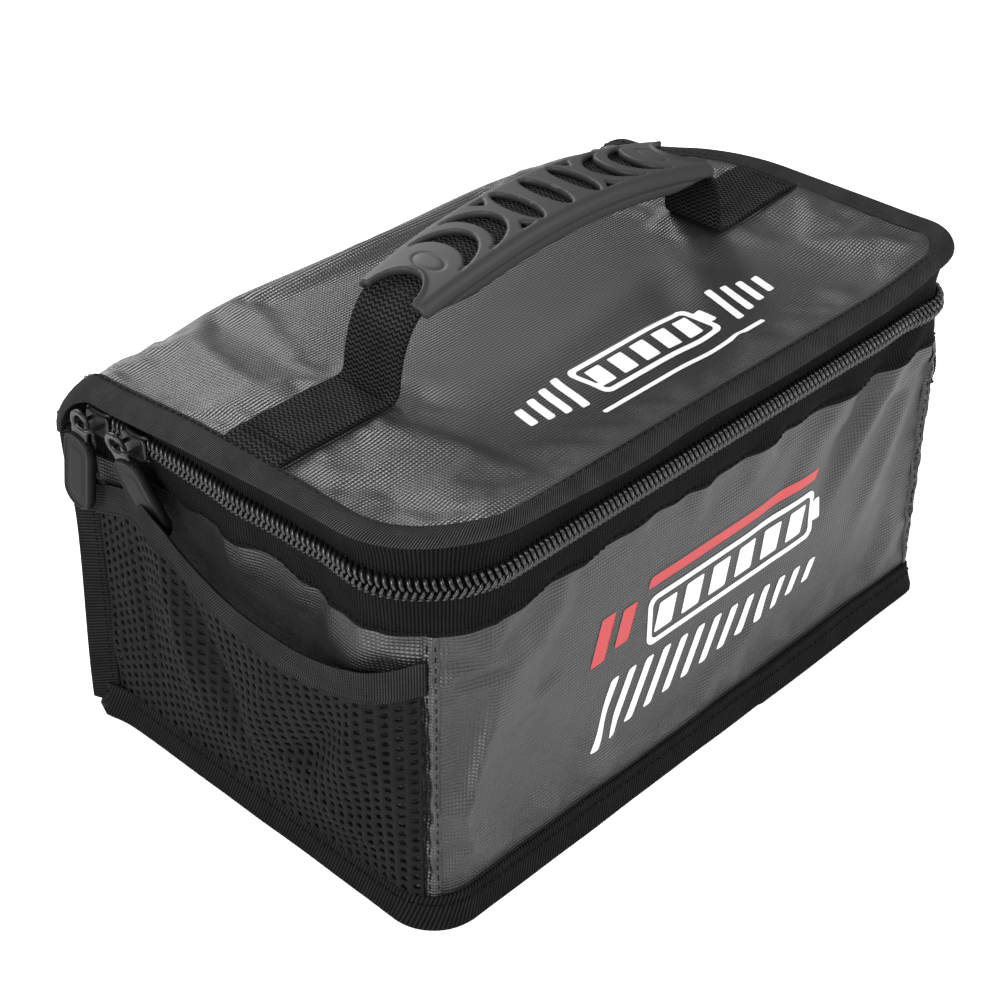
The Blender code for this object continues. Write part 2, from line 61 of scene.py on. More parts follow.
HALF_LENGTH = side("right_end_panel", 1, 0)
HALF_DEPTH = side("back_panel", 1, 1)
HINGE_Z = 141.0
LID_TOP = side("lid_panel", 1, 2)
BASE_TOP = side("bottom_binding", 1, 2)
CHAIN_Z = (side("zip_coil_lower", 1, 2) + side("zip_coil_upper", 0, 2)) / 2
WEB_LOW_Y = side("webbing_left", 0, 1)
WEB_HIGH_Y = side("webbing_left", 1, 1)
WEB_Y = (WEB_LOW_Y + WEB_HIGH_Y) / 2
GRIP_LOW_X = side("grip", 0, 0)
GRIP_HIGH_X = side("grip", 1, 0)
BACK_RADIUS = 2.5
FOLD_RADIUS = 14.0
CLOTH = 0.8


# ---------------------------------------------------------------- mesh helpers


def arr(*parts):
    return np.stack(np.broadcast_arrays(*[np.asarray(p, float) for p in parts]), -1)


def new_object(name, verts, faces, uvs=None):
    mesh = bpy.data.meshes.new(name)
    mesh.from_pydata((np.asarray(verts, float) * MM).tolist(), [], [tuple(int(i) for i in f) for f in faces])
    if uvs is not None:
        layer = mesh.uv_layers.new(name="UVMap")
        index = np.zeros(len(mesh.loops), int)
        mesh.loops.foreach_get("vertex_index", index)
        layer.data.foreach_set("uv", np.asarray(uvs, np.float32)[index].ravel())
    mesh.polygons.foreach_set("use_smooth", [True] * len(mesh.polygons))
    mesh.update()
    made = bpy.data.objects.new(name, mesh)
    bpy.context.scene.collection.objects.link(made)
    return made


def grid_faces(rows, cols, wrap_rows=False, wrap_cols=False):
    r = np.arange(rows if wrap_rows else rows - 1)
    c = np.arange(cols if wrap_cols else cols - 1)
    R, C = np.meshgrid(r, c, indexing="ij")
    R2, C2 = (R + 1) % rows, (C + 1) % cols
    return np.stack([R * cols + C, R * cols + C2, R2 * cols + C2, R2 * cols + C], -1).reshape(-1, 4)


def grid(name, points, uv=None, flip=False):
    """A sheet from rows x columns of points, with a UV map in millimetres."""
    points = np.asarray(points, float)
    rows, cols = points.shape[:2]
    faces = grid_faces(rows, cols)
    if flip:
        faces = faces[:, ::-1]
    uvs = None if uv is None else np.asarray(uv, float).reshape(-1, 2)
    return new_object(name, points.reshape(-1, 3), faces, uvs)


def thicken(piece, thickness, offset=-1.0):
    solid = piece.modifiers.new("thickness", "SOLIDIFY")
    solid.thickness = thickness * MM
    solid.offset = offset
    return piece


def tubes(name, paths, radius, sides=6):
    """Capped tubes along paths, an array of tubes x points x 3; radius may vary along the points."""
    paths = np.asarray(paths, float)
    count, n = paths.shape[:2]
    tangent = np.gradient(paths, axis=1)
    tangent /= np.linalg.norm(tangent, axis=-1, keepdims=True) + 1e-12
    up = np.zeros_like(tangent)
    up[..., 2] = 1.0
    steep = np.abs(tangent[..., 2]) > 0.85
    mostly = steep.mean(axis=1) > 0.3
    up[mostly] = (0.0, 1.0, 0.0)
    a = np.cross(tangent, up)
    a /= np.linalg.norm(a, axis=-1, keepdims=True) + 1e-12
    b = np.cross(a, tangent)
    angle = np.arange(sides) * 2 * pi / sides
    r = np.broadcast_to(np.asarray(radius, float), (n,))[None, :, None, None]
    spokes = np.cos(angle)[:, None] * a[:, :, None] + np.sin(angle)[:, None] * b[:, :, None]
    ring = paths[:, :, None] + r * spokes
    verts = ring.reshape(-1, 3)
    body = grid_faces(n, sides, wrap_cols=True)
    faces = []
    for k in range(count):
        base = k * n * sides
        faces.extend((body + base).tolist())
        faces.append(list(range(base, base + sides))[::-1])
        faces.append(list(range(base + (n - 1) * sides, base + n * sides)))
    uvs = np.zeros((count, n, sides, 2))
    uvs[..., 0] = np.arange(n)[None, :, None]
    uvs[..., 1] = np.arange(sides)
    return new_object(name, verts, faces, uvs.reshape(-1, 2))


def noise(x, y, seed, scale):
    """Smooth, repeatable waviness between about -1 and 1."""
    draw = np.random.RandomState(seed)
    total = 0.0
    for _ in range(7):
        kx, ky = draw.normal(size=2) / scale
        total = total + draw.uniform(0.5, 1.0) * np.sin(kx * x + ky * y + draw.uniform(0, 2 * pi))
    return total / 3.0


def smoothstep(x, low, high):
    t = np.clip((np.asarray(x, float) - low) / (high - low), 0, 1)
    return t * t * (3 - 2 * t)


def creases(a, b, rows):
    """Soft ridges and furrows on a cloth. A row gives its place (a, b), half widths, turn and height."""
    total = 0.0
    for a0, b0, across, along, turn, amount in rows:
        c, s = cos(radians(turn)), sin(radians(turn))
        p, q = (a - a0) * c + (b - b0) * s, -(a - a0) * s + (b - b0) * c
        total = total + amount * np.exp(-(p / along) ** 2 - (q / across) ** 2)
    return total


# ---------------------------------------------------------------- the bag's outline and walls


def corner_radius(z, end=-1):
    """Front corners: the left one is generous, the right one almost square."""
    if end < 0:
        return 14.0 + 20.0 * np.asarray(z, float) / HINGE_Z
    return 4.0 + 9.0 * smoothstep(z, 95, 145)


def push(x, y):
    """How far the loosely filled right end stands out."""
    return 2.6 * smoothstep(x, 100, 127) * (1 - smoothstep(y, 15, 75))


def outline(u, z):
    """Point and outward normal on the walls. u runs 0-1 left end, 1-2 corner, 2-3 front, 3-4 corner,
    4-5 right end, 5-6 back corner, 6-7 back, 7-8 back corner."""
    u, z = np.broadcast_arrays(np.asarray(u, float) % 8.0, np.asarray(z, float))
    left, right = corner_radius(z), corner_radius(z, 1)
    x, y, nx, ny = (np.zeros_like(left) for _ in range(4))
    for k in range(8):
        m = (u >= k) & (u < k + 1)
        t, rr = (u - k)[m], (left if k < 2 else right)[m]
        if k in (0, 4):
            s = -1.0 if k == 0 else 1.0
            back, fore = HALF_DEPTH - BACK_RADIUS, -HALF_DEPTH + rr
            way = t if k == 0 else 1 - t
            x[m], y[m], nx[m], ny[m] = s * HALF_LENGTH, back + (fore - back) * way, s, 0.0
        elif k in (1, 3):
            s = -1.0 if k == 1 else 1.0
            a = (t if k == 1 else 1 - t) * pi / 2
            cx, cy = s * (HALF_LENGTH - rr), -HALF_DEPTH + rr
            nx[m], ny[m] = s * np.cos(a), -np.sin(a)
            x[m], y[m] = cx + rr * nx[m], cy + rr * ny[m]
        elif k == 2:
            start, length = left[m] - HALF_LENGTH, 2 * HALF_LENGTH - left[m] - right[m]
            x[m], y[m], nx[m], ny[m] = start + t * length, -HALF_DEPTH, 0.0, -1.0
        elif k == 6:
            x[m], y[m], nx[m], ny[m] = (1 - 2 * t) * (HALF_LENGTH - BACK_RADIUS), HALF_DEPTH, 0.0, 1.0
        else:
            s = 1.0 if k == 5 else -1.0
            a = (t if k == 5 else 1 - t) * pi / 2
            nx[m], ny[m] = s * np.cos(a), np.sin(a)
            x[m] = s * (HALF_LENGTH - BACK_RADIUS) + BACK_RADIUS * nx[m]
            y[m] = HALF_DEPTH - BACK_RADIUS + BACK_RADIUS * ny[m]
    return arr(x + push(x, y), y, z), arr(nx, ny, 0 * nx)


def bulge(u, z):
    """Soft swelling and creases of the walls, outward in millimetres."""
    u, z = np.broadcast_arrays(np.asarray(u, float), np.asarray(z, float))
    point, _ = outline(u, np.clip(z, 0, HINGE_Z))
    x, y = point[..., 0], point[..., 1]
    total = np.zeros_like(z)
    up = smoothstep(z, 14, 34) * (1 - smoothstep(z, 100, 117))
    for u0, u1, amount in ((0.0, 1.5, 0.6), (1.5, 3.5, 1.3), (3.5, 5.0, 1.6)):
        inside = (u >= u0) & (u <= u1)
        share = np.clip((u - u0) / (u1 - u0), 0, 1)
        total += np.where(inside, amount * np.sin(pi * share) ** 0.7 * up, 0.0)
    walls = ((0.0, 1.5, y, END_CREASES), (1.5, 3.5, x, FRONT_CREASES), (3.5, 5.0, y, END_CREASES))
    for u0, u1, place, rows in walls:
        inside = (u > u0) & (u < u1)
        total += np.where(inside, creases(place, z, rows) * edge_ease(u, u0, u1), 0.0)
    return total


def edge_ease(u, low, high):
    return smoothstep(u, low, low + 0.12) * (1 - smoothstep(u, high - 0.12, high))


# Middle along the wall, middle height, half width across and along the crease, its turn, and how far it
# stands out
FRONT_CREASES = [
    (96, 98, 6, 30, 52, 2.8),
    (83, 94, 7, 30, 58, -2.6),
    (106, 74, 6, 32, 62, 2.0),
    (115, 56, 6, 26, 70, -1.6),
    (64, 100, 8, 28, 48, 1.4),
    (50, 92, 8, 26, 50, -1.2),
    (40, 40, 20, 60, 20, 0.8),
    (-70, 70, 24, 50, -60, 0.8),
    (-96, 98, 2.2, 12, 6, 0.45),
    (-96, 92, 2.0, 12, 4, -0.4),
    (20, 104, 8, 40, 12, -0.8),
]
END_CREASES = [
    (6, 104, 10, 24, -72, 2.6),
    (-27, 97, 6.5, 26, -70, -3.0),
    (-52, 104, 10, 22, -75, 1.6),
    (44, 100, 9, 22, -75, -1.2),
    (10, 60, 18, 40, 20, 1.0),
]


def settle(points, held, pressure, grow, frames=18, stiffness=12.0, bending=0.6):
    """Lets a grid of cloth find its own small wrinkles by simulation, held where held is true."""
    piece = grid("settling", points)
    group = piece.vertex_groups.new(name="held")
    group.add([int(i) for i in np.nonzero(held.ravel())[0]], 1.0, "REPLACE")
    cloth = piece.modifiers.new("cloth", "CLOTH")
    values = cloth.settings
    values.quality = 6
    values.mass = 0.2
    values.tension_stiffness = stiffness
    values.compression_stiffness = stiffness
    values.shear_stiffness = stiffness / 3
    values.bending_stiffness = bending
    values.use_pressure = True
    values.uniform_pressure_force = pressure
    values.shrink_min = -grow
    values.vertex_group_mass = "held"
    values.effector_weights.gravity = 0.0
    cloth.collision_settings.use_collision = False
    cloth.point_cache.frame_start = 1
    cloth.point_cache.frame_end = frames
    for step in range(1, frames + 1):
        bpy.context.scene.frame_set(step)
    done = piece.evaluated_get(bpy.context.evaluated_depsgraph_get()).to_mesh()
    moved = np.zeros(len(done.vertices) * 3)
    done.vertices.foreach_get("co", moved)
    moved = moved.reshape(points.shape) / MM
    bpy.context.scene.frame_set(1)
    bpy.data.objects.remove(piece)
    return moved


def spread(values, low_a, high_a, low_b, high_b):
    """Returns a function that reads a grid of vectors smoothly (Catmull-Rom) at any (a, b)."""
    rows, cols = values.shape[:2]

    def weights(t):
        return np.stack([-0.5 * t + t * t - 0.5 * t ** 3, 1 - 2.5 * t * t + 1.5 * t ** 3,
                         0.5 * t + 2 * t * t - 1.5 * t ** 3, -0.5 * t * t + 0.5 * t ** 3], -1)

    def read(a, b):
        a, b = np.broadcast_arrays(np.asarray(a, float), np.asarray(b, float))
        i = np.clip((a - low_a) / (high_a - low_a), 0, 1) * (rows - 1)
        j = np.clip((b - low_b) / (high_b - low_b), 0, 1) * (cols - 1)
        i0, j0 = np.minimum(i.astype(int), rows - 2), np.minimum(j.astype(int), cols - 2)
        wi, wj = weights(i - i0), weights(j - j0)
        out = 0.0
        for p in range(4):
            for q in range(4):
                r, c = np.clip(i0 + p - 1, 0, rows - 1), np.clip(j0 + q - 1, 0, cols - 1)
                out = out + (wi[..., p] * wj[..., q])[..., None] * values[r, c]
        return out

    return read


def wrinkles(start, held, grow, most, low_a, high_a, low_b, high_b):
    """Simulates a grid of cloth. Gives its movement, at most `most` millimetres, at any place on it."""
    change = settle(start, held, 1.2, grow) - start
    size = np.linalg.norm(change, axis=-1, keepdims=True)
    change *= np.minimum(1.0, most / (size + 1e-9))
    return spread(change, low_a, high_a, low_b, high_b)


def wall_field():
    """Simulated wrinkles of the three zipped walls, as offsets from their smooth shape."""
    us = np.linspace(0, 5, 151)
    zs = np.linspace(BASE_TOP, 117, 30)
    U, Z = np.meshgrid(us, zs, indexing="ij")
    point, normal = outline(np.minimum(U, 4.9999), Z)
    start = point + bulge(U, Z)[..., None] * normal
    held = (Z <= zs[0]) | (Z >= zs[-1]) | (U <= 0) | (U >= 5)
    for seam in (1.5, 3.5):
        held |= np.abs(U - seam) < 0.02
    return wrinkles(start, held, 0.012, 3.0, 0, 5, zs[0], zs[-1])


WALL_WRINKLES = wall_field()


def wall(u, z, off=0.0):
    """Point on the finished outer face of the walls, off millimetres outside it, and the smooth normal."""
    u, z, off = np.broadcast_arrays(np.asarray(u, float), np.asarray(z, float), np.asarray(off, float))
    point, normal = outline(u, z)
    front = (u >= 0) & (u <= 5)
    swell = np.where(front, bulge(np.clip(u, 0, 5), z), 0.0)
    fade = smoothstep(z, BASE_TOP - 4, BASE_TOP + 2) * (1 - smoothstep(z, 117, 122))
    wrinkle = WALL_WRINKLES(np.clip(u, 0, 5), z) * (fade * front)[..., None]
    return point + (swell + off)[..., None] * normal + wrinkle, normal


def stations(u0, u1, pitch, z=70.0):
    """Values of u evenly spaced along the outline, and their lengths along it."""
    fine = np.linspace(u0, u1, 4000)
    point, _ = outline(fine - 1e-9 * (fine >= 8), z)
    length = np.concatenate([[0], np.cumsum(np.linalg.norm(np.diff(point, axis=0), axis=1))])
    count = max(2, int(round(length[-1] / pitch)) + 1)
    at = np.linspace(0, length[-1], count)
    return np.interp(at, length, fine), at


# ---------------------------------------------------------------- the lid and back cloth

FOLD_START = HALF_DEPTH - CLOTH / 2 - FOLD_RADIUS
FOLD_LENGTH = pi / 2 * FOLD_RADIUS
LID_EDGE = 0.6
FOLD_LOW, FOLD_HIGH = (0, 0.081, 0.130), (0, 0.070, 0.146)


def lid_height(x, y):
    """Rise and fall of the lid's cloth over its flat height."""
    crown = 1.1 * (1 - (x / 128.0) ** 2) * (1 - ((y - 8) / 92.0) ** 2)
    total = crown + creases(x, y, LID_CREASES)
    under = (1 - smoothstep(np.abs(y - WEB_Y), 12, 22)) * smoothstep(np.abs(x - 3), 62, 76)
    return total * (1 - under) + crown * under


LID_CREASES = [
    (-30, -38, 9, 70, 8, -1.3),
    (10, -24, 8, 60, 12, 0.9),
    (-82, -45, 14, 22, 30, 0.9),
    (-98, 30, 12, 30, 70, 0.8),
    (-85, 48, 10, 26, 60, -0.7),
    (96, -40, 10, 26, -50, 1.1),
    (84, -26, 7, 26, -42, -1.0),
    (104, 22, 12, 26, 80, -0.6),
    (60, 40, 16, 60, 0, 0.5),
    (0, 62, 9, 110, 0, -0.5),
    (30, -46, 9, 40, 60, -1.2),
    (52, -30, 8, 34, 48, 1.2),
    (-52, 26, 12, 50, 20, -1.0),
    (-64, -8, 9, 26, -40, 1.0),
]


def sink(x, y):
    """How far the lid hangs below its flat height: down to the fold and its corners, up at the right end."""
    back = 1.4 * smoothstep(y, 0, 66) + 2.6 * smoothstep(np.abs(x), 60, 126) * smoothstep(y, 15, 68)
    back = back + 3.0 * smoothstep(x, 80, 126) * smoothstep(y, 30, 66)
    right = 3.4 * smoothstep(x, 80, 126) * (1 - smoothstep(y, -5, 45))
    return back - right - 1.2 * (1 - smoothstep(y, -82, -55))


def lid_path(x, w):
    """Point and normal on the lid and back cloth. w runs over the lid, round the fold and down the back."""
    x, w = np.broadcast_arrays(np.asarray(x, float), np.asarray(w, float))
    top = LID_TOP - CLOTH / 2
    turn = np.clip((w - FOLD_START) / FOLD_RADIUS, 0, pi / 2)
    down = np.maximum(w - FOLD_START - FOLD_LENGTH, 0)
    y = np.minimum(w, FOLD_START) + FOLD_RADIUS * np.sin(turn)
    hang = sink(x, np.minimum(w, FOLD_START)) * (1 - smoothstep(down, 0, 40))
    z = top - FOLD_RADIUS * (1 - np.cos(turn)) - down - hang
    normal = arr(0 * y, np.sin(turn), np.cos(turn))
    return arr(x + push(x, y), y, z), normal


BACK_END = FOLD_START + FOLD_LENGTH + (LID_TOP - CLOTH / 2 - FOLD_RADIUS) - 1.0


def lid_swell(x, w):
    point, _ = lid_path(x, w)
    on_lid = 1 - smoothstep(w, FOLD_START - 14, FOLD_START + 6)
    edge = 1 - smoothstep(np.abs(x), 112, 125)
    back = smoothstep(w, FOLD_START + 10, FOLD_START + 40) * smoothstep(BACK_END - w, 12, 40)
    share = np.clip(1 - (x / 127.0) ** 2, 0, 1)
    return lid_height(x, point[..., 1]) * on_lid * edge + back * share * (1.6 + 0.8 * noise(x, w, 5, 30))


def front_edge(x, edge):
    """Front edge of a layer of the lid, edge millimetres inside the walls' faces."""
    left, right = 34.0, 12.5
    radius = np.where(x < 0, left, right)
    reach = np.clip(np.abs(x) - (HALF_LENGTH - radius), 0, radius - edge)
    return -HALF_DEPTH + radius - np.sqrt(np.maximum((radius - edge) ** 2 - reach ** 2, 0))


def lid_columns(edge, pitch=1.5):
    """Places along the bag for a layer of the lid, closer together in the front corners."""
    turn = np.radians(np.linspace(90, 0, 24))
    left = -(HALF_LENGTH - 34 + (34 - edge) * np.sin(turn))
    right = HALF_LENGTH - 12.5 + (12.5 - edge) * np.sin(turn[::-1])
    count = int((right[0] - left[-1]) / pitch)
    return np.concatenate([left, np.linspace(left[-1], right[0], count)[1:-1], right])


def lid_field():
    """Simulated wrinkles of the lid and back cloth."""
    xs = np.linspace(-126, 126, 64)
    ws = np.linspace(-79, BACK_END, 76)
    X, W = np.meshgrid(xs, ws, indexing="ij")
    point, normal = lid_path(X, W)
    start = point + lid_swell(X, W)[..., None] * normal
    corner = W < front_edge(X, LID_EDGE) + 4
    straps = (W > WEB_LOW_Y) & (W < WEB_HIGH_Y) & (np.abs(X - 3) > 78)
    held = (np.abs(X) > 122) | (W < -76) | (W >= ws[-1]) | corner | straps
    return wrinkles(start, held, 0.008, 2.5, -126, 126, ws[0], ws[-1])


LID_WRINKLES = lid_field()


def lid(x, w, off=0.0):
    """Point off millimetres outside the lid and back cloth."""
    point, normal = lid_path(x, w)
    swell = lid_swell(x, w) + off + CLOTH / 2
    return point + np.asarray(swell)[..., None] * normal + LID_WRINKLES(x, w), normal


# ---------------------------------------------------------------- outlines cut from a fine grid


def cut(shape, x0, x1, y0, y1, step):
    """Triangles and quads covering the plane where shape(x, y) is positive, with a clean edge."""
    nx, ny = int(round((x1 - x0) / step)) + 1, int(round((y1 - y0) / step)) + 1
    X, Y = np.meshgrid(np.linspace(x0, x1, nx), np.linspace(y0, y1, ny), indexing="ij")
    small = step * 0.05
    for _ in range(2):
        s = shape(X, Y)
        gx = (shape(X + small, Y) - shape(X - small, Y)) / (2 * small)
        gy = (shape(X, Y + small) - shape(X, Y - small)) / (2 * small)
        size = np.hypot(gx, gy) + 1e-9
        away = s / size
        near = np.abs(away) < 0.55 * step
        X = np.where(near, X - away * gx / size, X)
        Y = np.where(near, Y - away * gy / size, Y)
    s = shape(X, Y)
    gx = (shape(X + small, Y) - shape(X - small, Y)) / (2 * small)
    gy = (shape(X, Y + small) - shape(X, Y - small)) / (2 * small)
    depth = s / (np.hypot(gx, gy) + 1e-9)
    inside = depth > -0.06 * step
    rim = near & inside
    quads = grid_faces(nx, ny)
    flag = inside.ravel()
    good = flag[quads]
    count = good.sum(1)
    faces = [tuple(q) for q in quads[count == 4]]
    for q, g in zip(quads[count == 3], good[count == 3]):
        faces.append(tuple(q[g]))
    used = np.unique(np.concatenate([np.array(f) for f in faces]))
    remap = np.full(nx * ny, -1)
    remap[used] = np.arange(len(used))
    faces = [tuple(remap[list(f)]) for f in faces]
    flat = arr(X, Y).reshape(-1, 2)[used]
    return flat, faces, np.where(rim, 0.0, np.maximum(depth, 0)).ravel()[used]


def rim_edges(faces):
    """Edges used by one face only, in that face's direction."""
    seen = {}
    for f in faces:
        for a, b in zip(f, f[1:] + f[:1]):
            seen[(a, b)] = seen.get((a, b), 0) + 1
    return [(a, b) for (a, b) in seen if (b, a) not in seen]


def plate(flat, faces, top, bottom):
    """A closed solid from a cut outline and its top and bottom points."""
    n = len(flat)
    verts = np.concatenate([top, bottom])
    solid = [tuple(f) for f in faces]
    solid += [tuple(i + n for i in f[::-1]) for f in faces]
    solid += [(b, a, a + n, b + n) for a, b in rim_edges([tuple(f) for f in faces])]
    return verts, solid


def rounded(depth, radius):
    """Drop of a rounded edge at a distance from the rim."""
    d = np.clip(radius - depth, 0, radius)
    return radius - np.sqrt(np.maximum(radius ** 2 - d ** 2, 0))


def ellipse(x, y, cx, cy, a, b):
    return 1 - ((x - cx) / a) ** 2 - ((y - cy) / b) ** 2


def box_shape(x, y, cx, cy, hx, hy, r):
    qx, qy = np.abs(x - cx) - (hx - r), np.abs(y - cy) - (hy - r)
    outside = np.hypot(np.maximum(qx, 0), np.maximum(qy, 0)) + np.minimum(np.maximum(qx, qy), 0)
    return r - outside


# ---------------------------------------------------------------- materials


class Look:
    """A small helper that wires shader nodes."""

    def __init__(self, name, rough, metallic=0.0, specular=0.5):
        self.made = bpy.data.materials.new(name)
        self.made.use_nodes = True
        self.tree = self.made.node_tree
        self.shader = self.tree.nodes["Principled BSDF"]
        self.shader.inputs["Roughness"].default_value = rough
        self.shader.inputs["Metallic"].default_value = metallic
        self.shader.inputs["Specular IOR Level"].default_value = specular

    def node(self, kind, **values):
        made = self.tree.nodes.new(kind)
        for key, value in values.items():
            if hasattr(made, key) and key not in made.inputs:
                setattr(made, key, value)
            else:
                self.feed(made.inputs[key], value)
        return made

    def feed(self, socket, value):
        if isinstance(value, bpy.types.NodeSocket):
            self.tree.links.new(value, socket)
        elif isinstance(value, bpy.types.Node):
            self.tree.links.new(value.outputs[0], socket)
        else:
            socket.default_value = value

    def math(self, operation, *values):
        made = self.tree.nodes.new("ShaderNodeMath")
        made.operation = operation
        for socket, value in zip(made.inputs, values):
            self.feed(socket, value)
        return made.outputs[0]

    def uv(self):
        split = self.node("ShaderNodeSeparateXYZ")
        source = self.node("ShaderNodeUVMap", uv_map="UVMap")
        self.feed(split.inputs[0], source.outputs[0])
        return split.outputs[0], split.outputs[1]

    def wave(self, value, pitch, shift=0.0):
        """0 to 1 ripple of a coordinate."""
        turned = self.math("MULTIPLY_ADD", value, 2 * pi / pitch, shift)
        return self.math("MULTIPLY_ADD", self.math("SINE", turned), 0.5, 0.5)

    def noise(self, scale, detail=3.0, rough=0.5, coords=None):
        made = self.node("ShaderNodeTexNoise", Scale=scale, Detail=detail, Roughness=rough)
        if coords is None:
            coords = self.node("ShaderNodeTexCoord").outputs["Object"]
        self.feed(made.inputs["Vector"], coords)
        return made.outputs[0]

    def blend(self, factor, low, high):
        ramp = self.node("ShaderNodeMix", data_type="RGBA")
        self.feed(ramp.inputs[0], factor)
        ramp.inputs[6].default_value = (*low, 1)
        ramp.inputs[7].default_value = (*high, 1)
        return ramp.outputs[2]

    def colour(self, value):
        self.feed(self.shader.inputs["Base Color"], value)

    def bump(self, height, distance, strength=1.0):
        made = self.node("ShaderNodeBump", Strength=strength, Distance=distance)
        self.feed(made.inputs["Height"], height)
        self.feed(self.shader.inputs["Normal"], made.outputs[0])


def coated_cloth():
    look = Look("coated_cloth_look", 0.40, specular=0.6)
    u, v = look.uv()
    ribs = look.wave(v, 1.25)
    threads = look.wave(u, 1.25)
    dots = look.math("MULTIPLY", ribs, threads)
    patchy = look.noise(38.0, 2.0)
    height = look.math("ADD", look.math("MULTIPLY", ribs, 0.45), look.math("MULTIPLY", dots, 0.7))
    height = look.math("ADD", height, look.math("MULTIPLY", look.noise(900.0, 2.0), 0.35))
    look.bump(height, 0.00026, 0.9)
    # Colour: painted highlights on the weave's raised dots and painted shade in the pits between them, mixed
    # with random patches.
    crest_highlight_and_patches = look.math("ADD", look.math("MULTIPLY", dots, 0.65), look.math("MULTIPLY", patchy, 0.35))
    look.colour(look.blend(crest_highlight_and_patches, (0.003, 0.003, 0.0033), (0.028, 0.028, 0.0295)))
    rough = look.node("ShaderNodeMapRange")
    look.feed(rough.inputs[0], look.noise(60.0, 4.0, 0.6))
    rough.inputs[3].default_value = 0.32
    rough.inputs[4].default_value = 0.48
    look.feed(look.shader.inputs["Roughness"], rough.outputs[0])
    return look.made


def lining_cloth():
    look = Look("lining_look", 0.5, specular=0.4)
    u, v = look.uv()
    dots = look.math("MULTIPLY", look.wave(v, 1.6), look.wave(u, 1.6))
    look.bump(look.math("ADD", dots, look.noise(40.0)), 0.0002, 0.7)
    look.colour(look.blend(dots, (0.28, 0.28, 0.28), (0.46, 0.46, 0.45)))
    return look.made


def ribbed_tape(name, pitch, slant, dark, light, rough=0.8, deep=0.00022, cross=0.0, zigzag=0.0):
    """Woven tape: ribs across u, leaning by slant, with a fainter weave across v."""
    look = Look(name, rough, specular=0.04)
    u, v = look.uv()
    along = look.math("MULTIPLY_ADD", v, slant, u)
    if zigzag:
        along = look.math("MULTIPLY_ADD", look.wave(v, 2.4), zigzag, along)
    ribs = look.wave(along, pitch)
    fine = look.wave(v, 1.2 if zigzag else 0.9)
    height = look.math("ADD", ribs, look.math("MULTIPLY", fine, 0.25 + cross))
    height = look.math("ADD", height, look.math("MULTIPLY", look.noise(700.0, 3.0), 0.5))
    look.bump(height, deep, 0.9)
    # Colour: painted highlights on the rib crests and painted shade in the grooves, varied by random
    # patches.
    crest_highlight_and_patches = look.math("MULTIPLY", ribs, look.math("MULTIPLY_ADD", look.noise(120.0, 3.0), 0.9, 0.4))
    look.colour(look.blend(crest_highlight_and_patches, dark, light))
    return look.made


def plain(name, colour, rough, metallic=0.0, specular=0.5, grain=0.00004, scale=900.0, speckle_and_glints=1.35):
    """Moulded or painted material with a fine grain and random lighter speckle in its tone; on the pocket
    net the strong speckle is painted glints on the yarn.
    """
    look = Look(name, rough, metallic, specular)
    look.bump(look.noise(scale, 4.0, 0.6), grain, 0.6)
    light = tuple(min(1.0, c * speckle_and_glints) for c in colour)
    look.colour(look.blend(look.noise(55.0, 4.0, 0.6), colour, light))
    return look.made


def grey(level, tint=1.04):
    """A dark neutral colour, a touch blue."""
    return (level, level, level * tint)


def tape(name, pitch, slant, dark, light, **more):
    return ribbed_tape(name + "_look", pitch, slant, grey(dark, 1.0), grey(light), **more)


MATERIAL = {
    "cloth": coated_cloth(),
    "lining": lining_cloth(),
    "lid_tape": tape("lid_binding", 0.80, 0.55, 0.002, 0.058, deep=0.0004),
    "base_tape": tape("base_binding", 1.25, 0.35, 0.0012, 0.016, deep=0.0003),
    "zip_tape": tape("zip_tape", 1.15, 0.0, 0.0012, 0.012, cross=0.6),
    "webbing": tape("webbing", 1.7, 0.0, 0.0006, 0.042, deep=0.0006, cross=0.7, zigzag=0.85),
    "elastic": tape("elastic", 0.9, 0.0, 0.004, 0.036),
    # The net's strong lighter speckle is painted glints on its yarn.
    "net": plain("pocket_net_look", grey(0.0016), 0.75, specular=0.10, grain=0.0004, scale=2600.0, speckle_and_glints=5.0),
    "coil": plain("zip_coil_look", grey(0.0055), 0.30, specular=0.5, scale=1500.0),
    "thread": plain("thread_look", grey(0.002), 0.8, specular=0.12, grain=0.0001),
    "grip": plain("grip_rubber_look", grey(0.026), 0.54, specular=0.24, scale=1600.0, speckle_and_glints=1.15),
    "metal": plain("slider_metal_look", grey(0.007), 0.38, metallic=0.25, specular=0.45, grain=0.00002),
    "pull": plain("pull_rubber_look", grey(0.0028), 0.55, specular=0.12, scale=1800.0),
    "white": plain("print_white_look", grey(0.78, 1.0), 0.55, grain=0.00008, scale=1200.0, speckle_and_glints=1.1),
    "red": plain("print_red_look", (0.42, 0.035, 0.04), 0.55, grain=0.00008, scale=1200.0, speckle_and_glints=1.2),
}


def dress(piece, look, body, slot, *stands_for, blend=None):
    """Gives a piece its material and its body, or bakes its placing into the mesh where blend is given, and
    hides the CAD nodes it stands for. The slot is not used.
    """
    piece.data.materials.clear()
    piece.data.materials.append(MATERIAL[look])
    if stands_for:
        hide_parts(*stands_for)
    if blend:
        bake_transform(piece)
    else:
        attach(piece, body)
    return piece


# ---------------------------------------------------------------- sweeps


def between(a, b, c, d, f):
    """Point a share f of the way from b to c on a smooth curve through a, b, c and d."""
    bend, twist = 2 * a - 5 * b + 4 * c - d, 3 * b - 3 * c + d - a
    return 0.5 * (2 * b + (c - a) * f + bend * f * f + twist * f ** 3)


